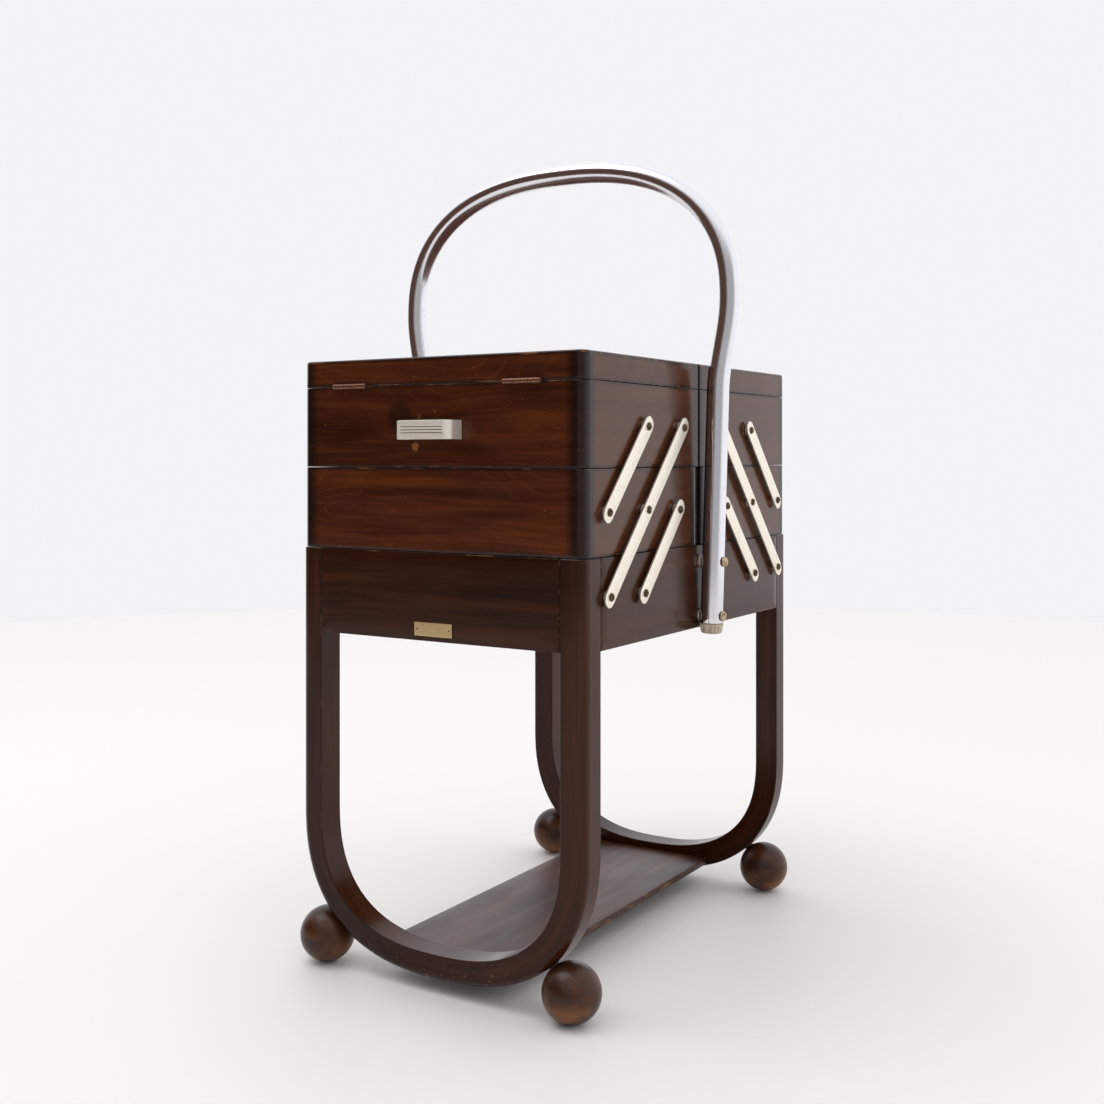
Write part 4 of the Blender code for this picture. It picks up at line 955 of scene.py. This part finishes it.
def handleFittings():
    # at each end a plug, turned from its shank inside the tube to its tapered tip, and two screws
    _, foot, passing = tubeLine()
    radius, gap, long = handle["diameter"] / 2, sizes["gap"], handle["capLength"]
    plug, rim = radius - handle["wall"] - gap, radius + handle["capRim"]
    tip = rim - handle["capTaper"]
    profile = [(plug - 0.0005, handle["plug"]), (plug, handle["plug"] - 0.0005), (plug, -gap),
               (rim - 0.0004, -gap), (rim, -gap - 0.0004), (rim, -0.25 * long), (rim - 0.0003, -0.30 * long),
               (rim - 0.0005, -0.38 * long), (tip, -0.80 * long), (tip - 0.0006, -0.92 * long),
               (0.8 * radius, -long), (0.3 * radius, -long)]
    lean = (passing - foot) / np.linalg.norm(passing - foot)
    for end, side in ends.items():
        cap = turned(profile, (side * foot[0], 0, foot[1]), (side * lean[0], 0, lean[1]), 64)
        makePiece(f"handle_plug_{end}", [cap], "yellowedCaseinPlug", "stand",
                  [f"handle_cap_{end}"])
        for level, rise in handle["screwRises"].items():
            screwAndSpacer(end, side, level, sizes["boxUnder"] + rise, foot, passing)


def screwAndSpacer(end, side, level, height, foot, passing):
    # a ring between box and tube, and a screw from the tube's far side into the box
    radius, gap, boxEnd = handle["diameter"] / 2, sizes["gap"], sizes["boxEnd"]
    middle = tubeX(height, foot, passing)
    wide = middle - radius - gap - boxEnd
    bore, outer, edge = handle["screw"] / 2 + gap, handle["spacer"] / 2, handle["spacerEdge"]
    ring = np.array([(bore, gap), (outer - edge, gap), (outer, gap + edge), (outer, wide - edge),
                     (outer - edge, wide), (bore, wide)])
    grid = tubeWall(side * (boxEnd + ring[:, 1:]), ring[:, :1], (0.0, height), 48)
    makePiece(f"handle_washer_{end}_{level}", [grid], "satinNickelStrip", "stand",
              [f"handle_spacer_{end}_{level}"])
    out = middle + radius + gap
    base = (side * out, 0, height)
    head = slottedHead(base, (side, 0, 0), handle["screwHead"], handle["slotTurns"][level])
    shank, reach = handle["screw"] / 2, out - boxEnd + handle["screwDepth"]
    rod = turned([(shank * 0.5, -reach), (shank, 0.001 - reach), (shank, gap)], base, (side, 0, 0), 32)
    makePiece(f"handle_screw_{end}_{level}_turned", [head, rod], "tarnishedNickelScrews", "stand",
              [f"handle_screw_{end}_{level}"], 50)


handleTube()
handleFittings()
print("handle ready")


view = {"place": (0.7389, -1.2095, 0.4926), "azimuth": 31.85, "lens": 43.84, "drop": 0.0881}
studio = {
    "wall": "#f7f7fa", "floor": "#efece8", "floorRoughness": 0.55, "floorReach": 3.0,
    "backdropStrength": 0.96,
    "wallStrength": 1.22, "topStrength": 1.22, "roomStrength": 0.50,
    "darkStrength": 0.30, "darkTint": "#9a7666", "darkWay": (-0.69, -0.72, -0.10), "darkCosine": 0.86,
    "darkSoft": 0.30,
    "softbox": {"place": (-0.9, -0.8, 2.7), "size": 1.6, "power": 16.0, "aim": (0.0, 0.0, 0.3)},
}


def setUpCamera():
    # a level camera, turned by the azimuth, whose picture is moved by drop widths
    data = bpy.data.cameras.new("camera")
    camera = bpy.data.objects.new("camera", data)
    scene.collection.objects.link(camera)
    camera.location = view["place"]
    camera.rotation_euler = (math.radians(90), 0.0, math.radians(view["azimuth"]))
    data.lens = view["lens"]
    data.sensor_width = 36.0
    data.shift_y = -view["drop"]
    data.clip_start = 0.02
    scene.camera = camera


def setUpFloor():
    # a round floor, wide enough for every view
    angles = np.linspace(0, 2 * math.pi, 96, endpoint=False)
    rim = studio["floorReach"] * np.column_stack([np.cos(angles), np.sin(angles), np.zeros(96)])
    mesh = bpy.data.meshes.new("floor")
    mesh.from_pydata(rim.tolist(), [], [list(range(96))])
    floor = bpy.data.objects.new("floor", mesh)
    scene.collection.objects.link(floor)
    look = {"Base Color": studio["floor"], "Roughness": studio["floorRoughness"]}
    material, _, _ = startMaterial("paintedScreed", look)
    mesh.materials.append(material)


def setUpLight():
    # a white room, dimmer behind the camera, with one dim warm doorway that metal and lacquer show; the
    # backdrop itself is one even white
    world = bpy.data.worlds.new("studio")
    world.use_nodes = True
    scene.world = world
    tree = world.node_tree
    way = addNode(tree, "TexCoord").outputs["Generated"]
    parted = addNode(tree, "SeparateXYZ", {0: way})
    facing = addNode(tree, "VectorMath", {0: way, 1: studio["darkWay"]}, operation="DOT_PRODUCT")
    edge = studio["darkCosine"]
    ramps = {}
    for part, source, low, high, start, stop in (
            ("room", parted.outputs["Y"], -0.50, 0.10, studio["roomStrength"], studio["wallStrength"]),
            ("above", parted.outputs["Z"], 0.25, 0.80, 0.0, 1.0),
            ("doorway", facing.outputs["Value"], edge - studio["darkSoft"], edge, 0.0, 1.0)):
        ramps[part] = addNode(tree, "MapRange", {0: source, 1: low, 2: high, 3: start, 4: stop},
                              interpolation_type="SMOOTHSTEP").outputs[0]
    direct = addNode(tree, "LightPath").outputs["Is Camera Ray"]
    strength = ramps["room"]
    for share, other in ((ramps["above"], studio["topStrength"]), (ramps["doorway"], studio["darkStrength"]),
                         (direct, studio["backdropStrength"])):
        strength = addNode(tree, "MapRange", {0: share, 3: strength, 4: other}).outputs[0]
    colour = linear(studio["wall"])
    for share, other in ((ramps["doorway"], studio["darkTint"]), (direct, studio["wall"])):
        colour = addNode(tree, "Mix", {0: share, 6: colour, 7: linear(other)}, data_type="RGBA").outputs[2]
    background = tree.nodes["Background"]
    tree.links.new(colour, background.inputs["Color"])
    tree.links.new(strength, background.inputs["Strength"])
    look = studio["softbox"]
    data = bpy.data.lights.new("softbox", "AREA")
    data.size = look["size"]
    data.energy = look["power"]
    lamp = bpy.data.objects.new("softbox", data)
    scene.collection.objects.link(lamp)
    lamp.location = look["place"]
    aim = np.subtract(look["aim"], look["place"])
    tilt = math.acos(-aim[2] / np.linalg.norm(aim))
    lamp.rotation_euler = (tilt, 0.0, math.atan2(aim[1], aim[0]) - math.pi / 2)
    scene.view_settings.view_transform = "Standard"


setUpCamera()
setUpFloor()
setUpLight()
print("camera, light and floor ready")
